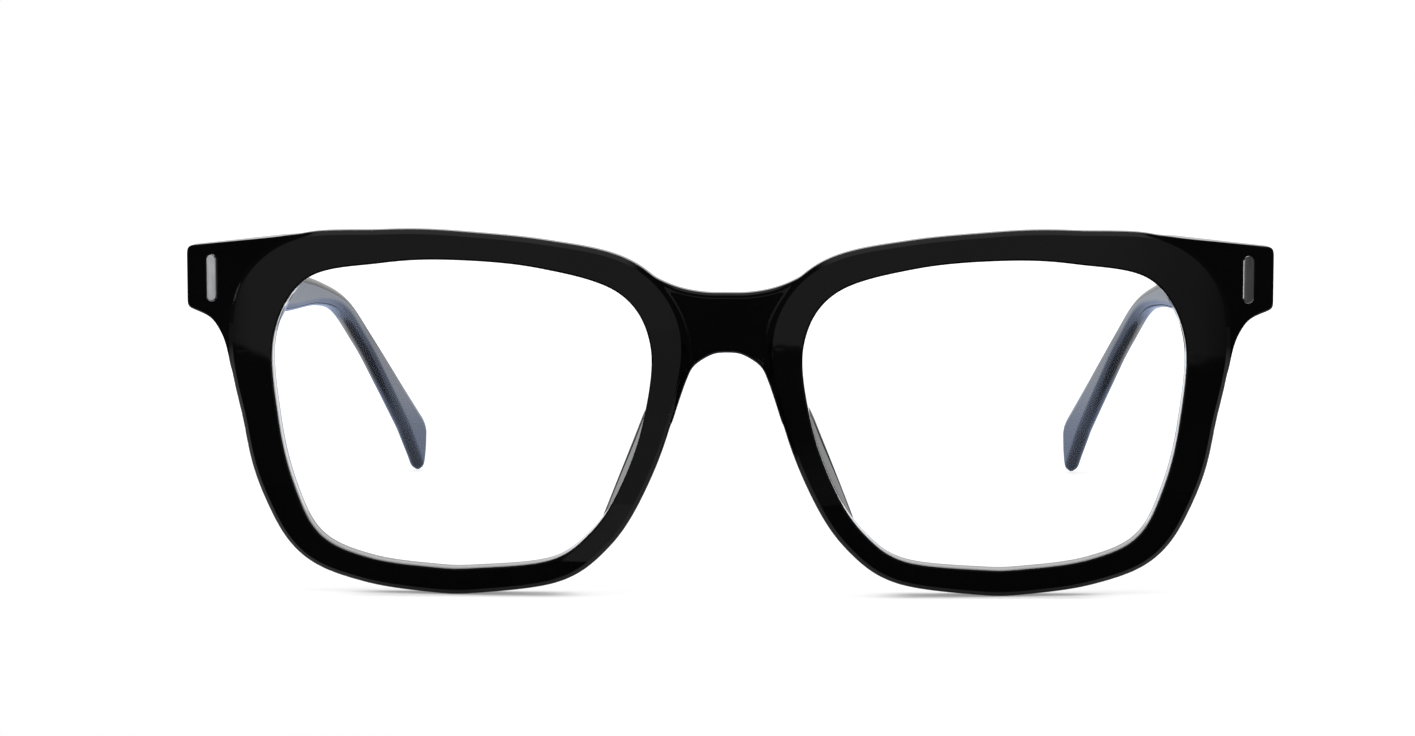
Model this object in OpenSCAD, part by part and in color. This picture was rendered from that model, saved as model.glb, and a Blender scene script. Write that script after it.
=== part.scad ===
// Rectangular full-rim computer glasses, standing open on a table.
// Millimetres. The front faces -Y, the temples run back along +Y and +Z is up.
// The origin is under the middle of the whole object, on the table.

/* [Front] */
// whole width, over both endpieces
front_w = 145.5; // [143.5:0.5:150]
// width of each lens opening
lens_w = 51; // [49:0.1:52]
// height of each lens opening
lens_h = 41.1; // [38:0.1:44]
// distance between the two lens openings
lens_gap = 19.9; // [18.5:0.1:21]
// radius of the front seen from above
wrap_r = 354; // [300:1:600]
// thickness of the front from its raised bands to its back
front_t = 4.2; // [4:0.1:5]
// how far the bridge and the endpieces lie behind the raised bands
step_depth = 0.7; // [0.4:0.05:0.9]
// width of the lower edge left around each raised band
edge_step = 0.6; // [0.4:0.05:1]
// how far the bridge's top edge lies under the top of the lens openings
bridge_drop = 4.2; // [3.7:0.1:6.2]
// height of the bridge
bridge_h = 7.95; // [6.8:0.05:8.3]

/* [Raised bands] */
// band width at the outer side
band_outer = 4.4; // [3.8:0.05:4.8]
// band width at the upper outer corner
band_corner = 6.35; // [5.6:0.05:6.6]
// band width along the top
band_top = 3.2; // [2.8:0.05:3.6]
// band width at the upper nose corner
band_nose_corner = 4.25; // [3.8:0.05:4.5]
// band width at the nose side
band_nose = 2.9; // [2.6:0.05:3.4]
// band width at the lower nose corner
band_low_nose = 2.6; // [2.2:0.05:3]
// band width along the bottom
band_bottom = 2.9; // [2.5:0.05:3.4]

/* [Endpieces] */
// how far the endpiece's outer top corner lies above the top of the lens openings
end_rise = 1.5; // [1.2:0.1:1.8]
// height of the endpiece at its outer side
end_h = 8.5; // [8.2:0.1:9]
// angle of the endpiece's front face, turned back towards the side
end_slope = 15; // [13:0.5:17]
// how far the flat back of the endpiece lies behind the front's foremost line
joint_y = 12; // [11.9:0.1:12.6]

/* [Lenses] */
// thickness of the lens
lens_t = 2; // [1.8:0.05:2.2]
// how deep the lens edge sits in the rim
groove_d = 0.8; // [0.6:0.05:1]
// thickness of the tongue around the lens
tongue_t = 1; // [0.8:0.05:1.2]
// distance from the band's face to the lens
lens_set_back = 1.1; // [0.9:0.05:1.2]
// clearance all round the lens
lens_clearance = 0.05; // [0.03:0.01:0.08]

/* [Nose pads] */
// width of the nose pad
pad_w = 2.5; // [2.1:0.05:2.7]
// how far the nose pad stands back from the front
pad_d = 5.8; // [5:0.1:6.6]
// angle at which the pads open towards the face
pad_flare = 12; // [9:0.5:16]
// thickness of the cement under a nose pad
cement_gap = 0.02; // [0.01:0.01:0.04]

/* [Temples] */
// length from the joint to the start of the bend
shaft_l = 86; // [80:0.5:92]
// run of the drop behind the bend
drop_run = 42.2; // [39:0.1:44]
// how far the bend lies under the top of the lens openings
bend_drop = 12.4; // [11.6:0.1:13.6]
// how far the temple's top edge at the joint lies above the top of the lens openings
temple_rise = 1.3; // [1.1:0.1:1.5]
// height of the temple at the joint
temple_h = 8.3; // [8:0.1:8.6]
// thickness of the temple at the joint
temple_t = 4; // [3.8:0.05:4.2]
// thickness of the temple at its tip
tip_t = 2.3; // [2.2:0.05:3]
// distance of the bend from the middle plane
bend_x = 63.2; // [62:0.1:65]
// distance of the tip from the middle plane
tip_x = 54.6; // [52:0.1:57]
// angle by which the bending lines of the temple lean back
bend_lean = 30; // [24:1:36]
// gap between the temple's end and the endpiece when open
open_gap = 0.06; // [0.03:0.01:0.1]

/* [Core wires] */
// height of the core wire
wire_h = 1.6; // [1.3:0.05:1.7]
// thickness of the core wire
wire_t = 1.2; // [1:0.05:1.3]
// clearance around the core wire
wire_clearance = 0.05; // [0.03:0.01:0.08]

/* [Hinges] */
// how far the middle of the hinge lies under the top of the lens openings
hinge_drop = 2.9; // [2.7:0.1:3.1]
// distance from the endpiece's flat back to the pin axis
pin_back = 2.2; // [2.1:0.05:2.4]
// distance from the temple's inner face to the pin axis
pin_in = 2.3; // [2.2:0.05:2.5]
// outer diameter of the barrels
barrel_d = 2.8; // [2.6:0.05:3]
// height of one barrel
barrel_h = 1.5; // [1.4:0.01:1.52]
// gap between neighbouring barrels
barrel_gap = 0.06; // [0.04:0.01:0.08]
// thickness of the hinge leaves
leaf_t = 1; // [0.9:0.05:1.1]
// height of the hinge leaves
leaf_h = 7.2; // [6.8:0.1:7.4]
// diameter of the screw's shaft
screw_d = 1.4; // [1.3:0.02:1.46]
// diameter of the screw's head
screw_head_d = 2.3; // [2.1:0.05:2.4]
// radial clearance between screw and barrels
screw_clearance = 0.03; // [0.02:0.01:0.05]
// clearance around the hinge leaves in their pockets
leaf_clearance = 0.05; // [0.03:0.01:0.07]

/* [Plaques] */
// width of the metal plaques
plaque_w = 1.65; // [1.4:0.05:1.9]
// height of the metal plaques
plaque_h = 6.4; // [5.8:0.1:6.8]
// thickness of the metal plaques
plaque_t = 0.55; // [0.45:0.05:0.65]
// distance from the side of the front to the middle of its plaque
plaque_in = 3.55; // [3.3:0.05:3.7]
// diameter of the rivet posts
post_d = 1.2; // [1:0.02:1.3]
// distance between the two posts of a plaque
post_step = 3.8; // [3.4:0.05:4]
// radial clearance around the posts
post_clearance = 0.02; // [0.02:0.01:0.04]
// clearance around a plaque in its seat
plaque_clearance = 0.05; // [0.03:0.01:0.07]

/* [Hidden] */

// colours of the materials
acetate_colour = [0.05, 0.05, 0.06];
pad_colour = [0.1, 0.1, 0.12];
lens_colour = [0.85, 0.9, 0.95, 0.35];
silver_colour = [0.78, 0.79, 0.81];
steel_colour = [0.62, 0.64, 0.67];

// segments between two control points of a curve
curve_steps = 5;
// facets of the big cylinders that wrap the front
wrap_facets = 360;
// facets of small round parts
round_facets = 48;
// spare length of cutters beyond what they cut
spare = 1;

// middle of the right lens
lens_cx = lens_gap / 2 + lens_w / 2;
lens_cz = band_bottom + edge_step + lens_h / 2;
lens_top_z = lens_cz + lens_h / 2;

// heights that follow the top of the lens openings
bridge_top_z = lens_top_z - bridge_drop;
bridge_low_z = bridge_top_z - bridge_h;
end_top_z = lens_top_z + end_rise;
end_low_z = end_top_z - end_h;
hinge_z = lens_top_z - hinge_drop;
temple_top_z = lens_top_z + temple_rise;
bend_z = lens_top_z - bend_drop;

// lens opening, as shares of its half width and half height
lens_shape = [
  [0.988, 0.488], [0.808, 0.869], [0.418, 0.974], [0.050, 1.000], [-0.414, 0.951],
  [-0.831, 0.793], [-0.994, 0.450], [-0.949, -0.065], [-0.820, -0.497],
  [-0.671, -0.768], [-0.464, -0.940], [-0.065, -0.997], [0.144, -0.996],
  [0.483, -0.944], [0.746, -0.802], [0.882, -0.490], [0.965, -0.061]];

// band width by direction around the lens, in degrees from the outer side
band_rows = [
  [-20, 0.95 * band_outer], [0, band_outer], [24, 0.515 * (band_outer + band_corner)],
  [38, band_corner], [58, 0.35 * band_corner + 0.65 * band_top], [90, band_top],
  [114, band_top], [150, band_nose_corner], [166, (band_nose_corner + band_nose) / 2],
  [188, band_nose], [215, band_low_nose], [245, band_low_nose], [270, band_bottom],
  [302, band_bottom], [322, (band_bottom + band_outer) / 2], [340, 0.95 * band_outer],
  [360, band_outer], [384, 0.515 * (band_outer + band_corner)]];

// a point of a smooth curve, a share t of the way from b to c
function smooth_point(a, b, c, d, t) =
  0.5 * (2 * b + (c - a) * t + (2 * a - 5 * b + 4 * c - d) * t * t
    + (3 * b - a - 3 * c + d) * t * t * t);

// smooth closed curve through the points
function closed_curve(p) = let (n = len(p))
  [for (i = [0:n - 1], s = [0:curve_steps - 1])
    smooth_point(p[(i + n - 1) % n], p[i], p[(i + 1) % n], p[(i + 2) % n], s / curve_steps)];

// smooth open curve through the points
function open_curve(p) = let (n = len(p))
  concat([for (i = [0:n - 2], s = [0:curve_steps - 1])
    smooth_point(i == 0 ? 2 * p[0] - p[1] : p[i - 1], p[i], p[i + 1],
      i == n - 2 ? 2 * p[n - 1] - p[n - 2] : p[i + 2], s / curve_steps)], [p[n - 1]]);

// outward direction at point i of a closed curve
function outward(c, i) = let (n = len(c), t = c[(i + 1) % n] - c[(i + n - 1) % n])
  [t[1], -t[0]] / norm(t);

// closed curve pushed outward by a distance
function pushed(c, d) = [for (i = [0:len(c) - 1]) c[i] + outward(c, i) * d];

// direction of a point seen from the lens middle, 0 to 360 degrees
function direction(p) = let (a = atan2((p[1] - lens_cz) / lens_h, (p[0] - lens_cx) / lens_w))
  a < 0 ? a + 360 : a;

// slope of the band width table at row k
function row_slope(r, k) = (r[k + 1][1] - r[k - 1][1]) / (r[k + 1][0] - r[k - 1][0]);

// smooth value of the table between rows k and k + 1
function between_rows(r, k, a) = let (h = r[k + 1][0] - r[k][0], t = (a - r[k][0]) / h)
  (2 * t * t * t - 3 * t * t + 1) * r[k][1] + (t * t * t - 2 * t * t + t) * h * row_slope(r, k)
  + (3 * t * t - 2 * t * t * t) * r[k + 1][1] + (t * t * t - t * t) * h * row_slope(r, k + 1);

// band width in one direction
function band_width(a) =
  [for (k = [1:len(band_rows) - 3]) if (a >= band_rows[k][0] && a <= band_rows[k + 1][0])
    between_rows(band_rows, k, a)][0];

// edge of the rim around the lens, beyond the band by an extra width
function rim_edge(extra) = [for (i = [0:len(lens_curve) - 1])
  lens_curve[i] + outward(lens_curve, i) * (band_width(direction(lens_curve[i])) + extra)];

// points of a rectangle with rounded corners, around the origin
function round_rect(w, h, r) = [for (q = [0:3], s = [0:4]) let (a = q * 90 + s * 22.5)
  [(q == 0 || q == 3 ? 1 : -1) * (w / 2 - r) + r * cos(a),
    (q < 2 ? 1 : -1) * (h / 2 - r) + r * sin(a)]];

lens_curve = closed_curve([for (p = lens_shape)
  [lens_cx + p[0] * lens_w / 2, lens_cz + p[1] * lens_h / 2]]);
half_w = front_w / 2;
rim_top_z = lens_top_z + band_top + edge_step;

// endpiece outline: along its top, down its side and back into the rim
end_corner = 0.5;
end_points = concat(
  open_curve([[lens_cx + 0.117 * lens_w, rim_top_z - 0.03 * end_h],
    [half_w - 2.175 * end_h, rim_top_z - 0.04 * end_h],
    [half_w - 1.295 * end_h, rim_top_z - 0.135 * end_h], [half_w - end_corner, end_top_z]]),
  [for (a = [60:-30:0]) [half_w - end_corner + end_corner * cos(a),
    end_top_z - end_corner + end_corner * sin(a)]],
  [for (a = [0:-30:-60]) [half_w - end_corner + end_corner * cos(a),
    end_low_z + end_corner + end_corner * sin(a)]],
  open_curve([[half_w - end_corner - 0.037 * end_h, end_low_z - 0.012 * end_h],
    for (p = [[0.385, 0.14], [0.54, 0.34], [0.633, 0.565], [0.715, 0.94]])
      [half_w - p[0] * end_h, end_low_z - p[1] * end_h]]),
  [[half_w - 1.058 * end_h, end_low_z - 0.94 * end_h],
    [lens_cx + 0.531 * lens_w, lens_cz + 0.145 * lens_h]]);

// bridge outline: over the top from the right rim to the left, and back underneath
bridge_half = concat(
  open_curve([for (p = [[0, 0], [0.147, 0.007], [0.31, 0.08], [0.467, 0.24], [0.632, 0.493]])
    [p[0] * lens_gap, bridge_top_z + p[1] * bridge_h]]),
  [[0.439 * lens_gap, bridge_low_z]],
  open_curve([for (p = [[0.368, 1.195], [0.32, 0.82], [0.264, 0.43], [0.216, 0.215],
    [0.096, 0.03], [0, 0]]) [p[0] * lens_gap, bridge_low_z - p[1] * bridge_h]]));

// depth of the wrapped surface at a distance x from the middle, behind the foremost line
function wrap_y(x, depth) = wrap_r - sqrt(pow(wrap_r - depth, 2) - x * x);

// temple profiles
hinge_low_z = temple_top_z - temple_h;
bend_y = joint_y + shaft_l;
tip_y = bend_y + drop_run;
side_top = open_curve(concat(
  [[joint_y + open_gap, temple_top_z],
    [joint_y + 0.27 * shaft_l, temple_top_z - 0.29 * temple_h],
    [joint_y + 0.57 * shaft_l, temple_top_z - 0.79 * temple_h],
    [joint_y + 0.85 * shaft_l, bend_z + 0.43 * temple_h]],
  [for (p = [[0.114, 0.974], [0.443, 0.724], [0.754, 0.46], [0.965, 0.28]])
    [bend_y + p[0] * drop_run, p[1] * bend_z]]));
side_low = open_curve(concat(
  [for (p = [[0.734, 0.225], [0.517, 0.472], [0.262, 0.737], [0, 0.922]])
    [bend_y + p[0] * drop_run, p[1] * bend_z]],
  [[joint_y + 0.83 * shaft_l, bend_z - 0.02 * temple_h],
    [joint_y + 0.57 * shaft_l, bend_z + 0.08 * temple_h],
    [joint_y + 0.27 * shaft_l, hinge_low_z - 0.29 * temple_h],
    [joint_y + open_gap, hinge_low_z]]));
tip_end = [for (p = [[0.992, 0.24], [1, 0.19], [0.963, 0.095], [0.922, 0.025], [0.892, 0],
  [0.866, 0.012], [0.841, 0.06]]) [bend_y + p[0] * drop_run, p[1] * bend_z]];
side_profile = concat(side_top, tip_end, side_low);

// middle of the temple seen along its leaning bending lines: distance from the middle plane
// against the run of the temple, for points of its middle line given as [y, z, x]; its outer
// face lies a side step inside the front's side
side_step = 0.3;
temple_cx = half_w - side_step - temple_t / 2;
middle_line = [[joint_y - 0.095 * shaft_l, hinge_z, temple_cx],
  [joint_y + 0.167 * shaft_l, hinge_z - 0.11 * temple_h, temple_cx - 0.025 * temple_t],
  [joint_y + 0.35 * shaft_l, hinge_z - 0.3 * temple_h, temple_cx - 0.3 * temple_t],
  [joint_y + 0.66 * shaft_l, 1.094 * bend_z, 0.54 * temple_cx + 0.46 * bend_x],
  [bend_y + 0.1 * drop_run, 0.915 * bend_z, bend_x],
  [bend_y + 0.43 * drop_run, 0.67 * bend_z, 0.67 * bend_x + 0.33 * tip_x],
  [bend_y + 0.71 * drop_run, 0.36 * bend_z, 0.33 * bend_x + 0.67 * tip_x],
  [bend_y + 0.97 * drop_run, 0.08 * bend_z, tip_x],
  [bend_y + 1.17 * drop_run, -0.15 * bend_z, 1.3 * tip_x - 0.3 * bend_x]];
plan_curve = open_curve([for (m = middle_line)
  [m[2], (m[0] - joint_y) * cos(bend_lean) - (m[1] - hinge_z) * sin(bend_lean)]]);
function thickness(run) = temple_t + (tip_t - temple_t) * run / (tip_y - joint_y);
function plan_strip(c, side) = [for (p = c) p + [side * thickness(p[1]) / 2, 0]];
function turned(c) = [for (i = [len(c) - 1:-1:0]) c[i]];

// hinge positions
temple_in_x = temple_cx - temple_t / 2;
pin_x = temple_in_x - pin_in;
pin_y = joint_y + pin_back;
barrel_step = barrel_h + barrel_gap;
hinge_low = hinge_z - 2.5 * barrel_h - 2 * barrel_gap;
hinge_top = hinge_z + 2.5 * barrel_h + 2 * barrel_gap;

// front leaf: reach inward from the pin axis, and distance left to the front's side
front_leaf_in = 4.6;
front_leaf_side = 1.6;
front_leaf_x1 = pin_x - front_leaf_in;
front_leaf_x2 = half_w - front_leaf_side;

// temple leaf: its start behind the endpiece, its length and how far it stands proud
temple_leaf_start = 0.5;
temple_leaf_l = 10.5;
temple_leaf_proud = 0.4;
temple_leaf_y1 = joint_y + temple_leaf_start;
temple_leaf_y2 = temple_leaf_y1 + temple_leaf_l;
temple_leaf_x1 = temple_in_x - temple_leaf_proud;

// corner radius of the leaves
leaf_corner = 0.8;

// distance from the endpiece's back to the middle of the temple plaque
plaque_back = 7.2;
temple_plaque_y = joint_y + plaque_back;

// hinge block behind the endpiece: start inward of the front leaf, run of its sloping inner
// side, bevel at its back corner and height left under the temple
block_in = 3.4;
block_slope = 2.1;
block_bevel = 0.5;
block_under = 0.5;
block_x = front_leaf_x1 - block_in;

// screw: thickness of the head, gap under it, width of its slot and end below the barrels
head_t = 0.7;
head_gap = 0.03;
slot_w = 0.35;
screw_end = 0.2;

// the plaque's frame on the sloped part of the endpiece, which has this width
plaque_x = half_w - plaque_in;
slope_w = 6.2;
slope_x = half_w - slope_w;
slope_y = wrap_y(slope_x, step_depth);
plaque_y = slope_y + (plaque_x - slope_x) * tan(end_slope);
plaque_z = end_top_z - 0.506 * end_h;
plaque_proud = 0.3;

// core wire path seen from the side, and its ends
wire_path = open_curve([[joint_y + 0.155 * shaft_l, temple_top_z - 0.663 * temple_h],
  [joint_y + 0.36 * shaft_l, bend_z + 0.723 * temple_h],
  [joint_y + 0.6 * shaft_l, bend_z + 0.41 * temple_h],
  [joint_y + 0.85 * shaft_l, bend_z + 0.21 * temple_h],
  [bend_y + 0.07 * drop_run, 0.945 * bend_z], [bend_y + 0.34 * drop_run, 0.74 * bend_z],
  [bend_y + 0.62 * drop_run, 0.48 * bend_z], [bend_y + 0.72 * drop_run, 0.38 * bend_z]]);

// everything is drawn with y = 0 at the foremost line and moved to the shared frame here
module placed() {
  translate([0, -tip_y / 2, 0]) children();
}

// a copy on the left
module left() {
  mirror([1, 0, 0]) children();
}

// both sides
module both() {
  children();
  left() children();
}

// outline in x and z, extruded along y from y1 to y2
module upright(points, y1, y2) {
  translate([0, y2, 0])
    rotate([90, 0, 0])
      linear_extrude(height = y2 - y1) polygon(points);
}

// outline in x and y, extruded upward from z1 to z2
module flat(points, z1, z2) {
  translate([0, 0, z1])
    linear_extrude(height = z2 - z1) polygon(points);
}

// outline in x and run, extruded along the leaning bending lines of the temple
module leaning(points) {
  translate([0, joint_y, hinge_z])
    rotate([-bend_lean, 0, 0])
      translate([0, 0, -half_w])
        linear_extrude(height = 2 * half_w) polygon(points);
}

// outline in y and z, extruded along x from x1 to x2
module sideways(points, x1, x2) {
  translate([x1, 0, 0])
    rotate([90, 0, 90])
      linear_extrude(height = x2 - x1) polygon(points);
}

// all that lies behind the wrapped surface of a given depth
module behind(depth) {
  translate([0, wrap_r, -2 * spare])
    cylinder(h = rim_top_z + 6 * spare, r = wrap_r - depth, $fn = wrap_facets);
}

// wrapped layer between two depths
module layer(from, to) {
  difference() {
    behind(from);
    behind(to);
  }
}

// lens-shaped piece of a wrapped layer
module lens_layer(grow, from, to) {
  intersection() {
    upright(pushed(lens_curve, grow), -spare, wrap_y(half_w, to) + spare);
    layer(from, to);
  }
}

// rim, endpiece and half the bridge of the right side as one outline through the front
module side_outline(y2) {
  upright(rim_edge(edge_step), -spare, y2);
  upright(end_points, -spare, y2);
}

// whole bridge
module bridge_outline(y2) {
  upright(concat(bridge_half, [for (i = [len(bridge_half) - 2:-1:1])
    [-bridge_half[i][0], bridge_half[i][1]]]), -spare, y2);
}

// thick hinge block behind the endpiece
module hinge_block() {
  intersection() {
    side_outline(joint_y);
    flat([[block_x, wrap_y(front_leaf_x1, front_t) - front_t / 2],
      [block_x + block_slope, joint_y - block_bevel],
      [block_x + block_slope + block_bevel, joint_y],
      [half_w + spare, joint_y], [half_w + spare, wrap_y(half_w, step_depth) + spare],
      [block_x, wrap_y(front_leaf_x1, step_depth) + spare]],
      hinge_low_z - block_under, rim_top_z + spare);
  }
}

// moves a piece drawn on the plane y = 0, facing -Y, onto the sloped endpiece
module on_endpiece() {
  translate([plaque_x, plaque_y, plaque_z])
    rotate([0, 0, end_slope]) children();
}

// plaque bar and posts; grow widens the bar, post_grow the posts
module plaque_shape(grow, post_grow, length) {
  upright(round_rect(plaque_w + 2 * grow, plaque_h + 2 * grow, plaque_w / 2 + grow - 0.05),
    -plaque_proud, plaque_t - plaque_proud + grow);
  for (z = [-post_step / 2, post_step / 2])
    translate([0, 0, z])
      rotate([-90, 0, 0])
        cylinder(h = length, d = post_d + 2 * post_grow, $fn = round_facets);
}

// flat face of the endpiece, as the cutter in front of it
module slope_cutter() {
  translate([slope_x, slope_y, 0])
    rotate([0, 0, end_slope])
      translate([0, -slope_w, bridge_low_z - spare])
        cube([2 * slope_w, slope_w, rim_top_z]);
}

module front_frame() {
  color(acetate_colour) placed()
    difference() {
      union() {
        intersection() {
          union() {
            both() side_outline(wrap_y(half_w, front_t) + spare);
            bridge_outline(wrap_y(half_w, front_t) + spare);
          }
          layer(step_depth, front_t);
        }
        both() intersection() {
          upright(rim_edge(0), -spare, wrap_y(half_w, front_t));
          layer(0, front_t - spare);
        }
        both() hinge_block();
      }
      both() {
        upright(lens_curve, -spare, joint_y + spare);
        lens_layer(groove_d, lens_set_back + (lens_t - tongue_t) / 2 - lens_clearance,
          lens_set_back + (lens_t + tongue_t) / 2 + lens_clearance);
        difference() {
          slope_cutter();
          upright(rim_edge(0), -spare, joint_y);
        }
        on_endpiece() plaque_shape(plaque_clearance, post_clearance, joint_y);
        front_leaf_plate(leaf_clearance);
      }
    }
}

module lens_right() {
  color(lens_colour) placed() lens_shape_solid();
}

module lens_left() {
  color(lens_colour) placed() left() lens_shape_solid();
}

module lens_shape_solid() {
  lens_layer(-lens_clearance, lens_set_back, lens_set_back + lens_t);
  lens_layer(groove_d - lens_clearance, lens_set_back + (lens_t - tongue_t) / 2,
    lens_set_back + (lens_t + tongue_t) / 2);
}

// the pad follows the nose side of the rim between two directions; its side view is given in
// shares of its depth and of the lens height
pad_from = 168;
pad_to = 226;
pad_inset = 0.6;
pad_edge = [for (i = [0:len(lens_curve) - 1]) let (a = direction(lens_curve[i]))
  if (a > pad_from && a < pad_to) let (s = (2 * a - pad_from - pad_to) / (pad_to - pad_from))
    [lens_curve[i], outward(lens_curve, i), pad_w / 2 * pow(1 - s * s, 0.4)]];
pad_points = concat(
  [for (e = pad_edge) e[0] + e[1] * (pad_inset + pad_w / 2 - e[2])],
  [for (i = [len(pad_edge) - 1:-1:0]) let (e = pad_edge[i])
    e[0] + e[1] * (pad_inset + pad_w / 2 + e[2])]);
pad_mid_z = lens_cz - 0.23 * lens_h;
pad_back_y = front_t + pad_d;
pad_side = [for (p = concat([[-0.34, 0.29]],
  open_curve([[0.1, 0.278], [0.45, 0.217], [0.845, 0.109], [1, 0], [0.88, -0.101],
    [0.5, -0.174], [0.1, -0.217]]), [[-0.34, -0.229]]))
  [front_t + p[0] * pad_d, pad_mid_z + p[1] * lens_h]];

module nose_pad_solid() {
  intersection() {
    translate([lens_gap / 2, front_t, 0])
      rotate([0, 0, -pad_flare])
        translate([-lens_gap / 2, -front_t, 0])
          upright(pad_points, 0, pad_back_y + pad_d);
    sideways(pad_side, 0, lens_cx);
    behind(front_t + cement_gap);
  }
}

module nose_pad_right() {
  color(pad_colour) placed() nose_pad_solid();
}

module nose_pad_left() {
  color(pad_colour) placed() left() nose_pad_solid();
}

// front plaque: the posts end flush with the back of the hinge leaf
module front_plaque_solid() {
  intersection() {
    on_endpiece() plaque_shape(0, 0, joint_y);
    cube([half_w + spare, joint_y - leaf_clearance, rim_top_z]);
  }
}

module front_plaque_right() {
  color(silver_colour) placed() front_plaque_solid();
}

module front_plaque_left() {
  color(silver_colour) placed() left() front_plaque_solid();
}

// plate of the front leaf, let into the back of the endpiece
module front_leaf_plate(grow) {
  translate([(front_leaf_x1 + front_leaf_x2) / 2, 0, hinge_z])
    upright(round_rect(front_leaf_x2 - front_leaf_x1 + 2 * grow, leaf_h + 2 * grow, leaf_corner),
      joint_y - leaf_t - grow, joint_y + (grow > 0 ? spare : 0));
}

// barrel k of the hinge, counted from below, with a foot towards its leaf that is no higher
// than the leaf
module barrel(k, foot_x, foot_y) {
  z1 = hinge_low + k * barrel_step;
  foot_z1 = max(z1, hinge_z - leaf_h / 2);
  foot_z2 = min(z1 + barrel_h, hinge_z + leaf_h / 2);
  translate([pin_x, pin_y, z1])
    cylinder(h = barrel_h, d = barrel_d, $fn = round_facets);
  translate([pin_x - (foot_x > 0 ? 0 : barrel_d / 2),
    pin_y - (foot_y > 0 ? foot_y : barrel_d / 2), foot_z1])
    cube([foot_x > 0 ? foot_x : barrel_d, foot_y > 0 ? foot_y : barrel_d, foot_z2 - foot_z1]);
}

// bore for the screw
module screw_bore() {
  translate([pin_x, pin_y, hinge_low - spare])
    cylinder(h = hinge_top - hinge_low + 2 * spare, d = screw_d + 2 * screw_clearance,
      $fn = round_facets);
}

module front_hinge_solid() {
  difference() {
    union() {
      front_leaf_plate(0);
      for (k = [0, 2, 4])
        barrel(k, 0, pin_back + leaf_t / 2);
    }
    screw_bore();
    on_endpiece() plaque_shape(0, post_clearance, joint_y);
  }
}

module front_hinge_right() {
  color(steel_colour) placed() front_hinge_solid();
}

module front_hinge_left() {
  color(steel_colour) placed() left() front_hinge_solid();
}

// plate of the temple leaf, let into the inner face of the temple
module temple_leaf_plate(grow) {
  translate([0, (temple_leaf_y1 + temple_leaf_y2) / 2, hinge_z])
    sideways(round_rect(temple_leaf_y2 - temple_leaf_y1 + 2 * grow, leaf_h + 2 * grow, leaf_corner),
      temple_leaf_x1 - (grow > 0 ? spare : 0), temple_leaf_x1 + leaf_t + grow);
}

// moves a piece drawn on the plane y = 0, facing -Y, onto the temple's outer face
module on_temple() {
  translate([temple_in_x + temple_t, temple_plaque_y, hinge_z])
    rotate([0, 0, 90]) children();
}

module temple_hinge_solid() {
  difference() {
    union() {
      temple_leaf_plate(0);
      for (k = [1, 3])
        barrel(k, temple_leaf_x1 + leaf_t / 2 - pin_x, 0);
    }
    screw_bore();
    on_temple() plaque_shape(0, post_clearance, temple_t + 2 * spare);
  }
}

module temple_hinge_right() {
  color(steel_colour) placed() temple_hinge_solid();
}

module temple_hinge_left() {
  color(steel_colour) placed() left() temple_hinge_solid();
}

// screw: shaft through all the barrels, slotted head on top
module hinge_screw_solid() {
  translate([pin_x, pin_y, 0])
    difference() {
      union() {
        translate([0, 0, hinge_low - screw_end])
          cylinder(h = hinge_top - hinge_low + screw_end + head_t / 2, d = screw_d,
            $fn = round_facets);
        translate([0, 0, hinge_top + head_gap])
          cylinder(h = head_t, d = screw_head_d, $fn = round_facets);
      }
      translate([-screw_head_d, -slot_w / 2, hinge_top + head_gap + head_t / 2])
        cube([2 * screw_head_d, slot_w, head_t]);
    }
}

module hinge_screw_right() {
  color(steel_colour) placed() hinge_screw_solid();
}

module hinge_screw_left() {
  color(steel_colour) placed() left() hinge_screw_solid();
}

// flat bar that follows the temple's middle; grow makes the channel for it
module wire_bar(grow) {
  n = len(wire_path);
  side = function(i) let (t = wire_path[min(i + 1, n - 1)] - wire_path[max(i - 1, 0)])
    [-t[1], t[0]] / norm(t);
  half_h = wire_h / 2 + grow;
  half_t = wire_t / 2 + grow;
  intersection() {
    sideways(concat([for (i = [0:n - 1]) wire_path[i] + side(i) * half_h],
      [for (i = [n - 1:-1:0]) wire_path[i] - side(i) * half_h]), 0, half_w);
    leaning(concat([for (p = plan_curve) p - [half_t, 0]],
      [for (p = turned(plan_curve)) p + [half_t, 0]]));
  }
}

module temple_solid() {
  difference() {
    intersection() {
      sideways(side_profile, 0, half_w + spare);
      leaning(concat(plan_strip(plan_curve, -1), turned(plan_strip(plan_curve, 1))));
    }
    wire_bar(wire_clearance);
    temple_leaf_plate(leaf_clearance);
    on_temple() plaque_shape(plaque_clearance, post_clearance, temple_t + 2 * spare);
  }
}

module temple_right() {
  color(acetate_colour) placed() temple_solid();
}

module temple_left() {
  color(acetate_colour) placed() left() temple_solid();
}

module core_wire_right() {
  color(steel_colour) placed() wire_bar(0);
}

module core_wire_left() {
  color(steel_colour) placed() left() wire_bar(0);
}

// temple plaque: the posts end flush with the inner face of the temple leaf
module temple_plaque_solid() {
  intersection() {
    on_temple() plaque_shape(0, 0, temple_t + 2 * spare);
    translate([temple_leaf_x1, joint_y, 0]) cube([half_w, shaft_l, rim_top_z]);
  }
}

module temple_plaque_right() {
  color(silver_colour) placed() temple_plaque_solid();
}

module temple_plaque_left() {
  color(silver_colour) placed() left() temple_plaque_solid();
}

front_frame();
lens_left();
lens_right();
nose_pad_left();
nose_pad_right();
front_plaque_left();
front_plaque_right();
front_hinge_left();
front_hinge_right();
hinge_screw_left();
hinge_screw_right();
temple_left();
temple_right();
temple_hinge_left();
temple_hinge_right();
core_wire_left();
core_wire_right();
temple_plaque_left();
temple_plaque_right();
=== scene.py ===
import math

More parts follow.
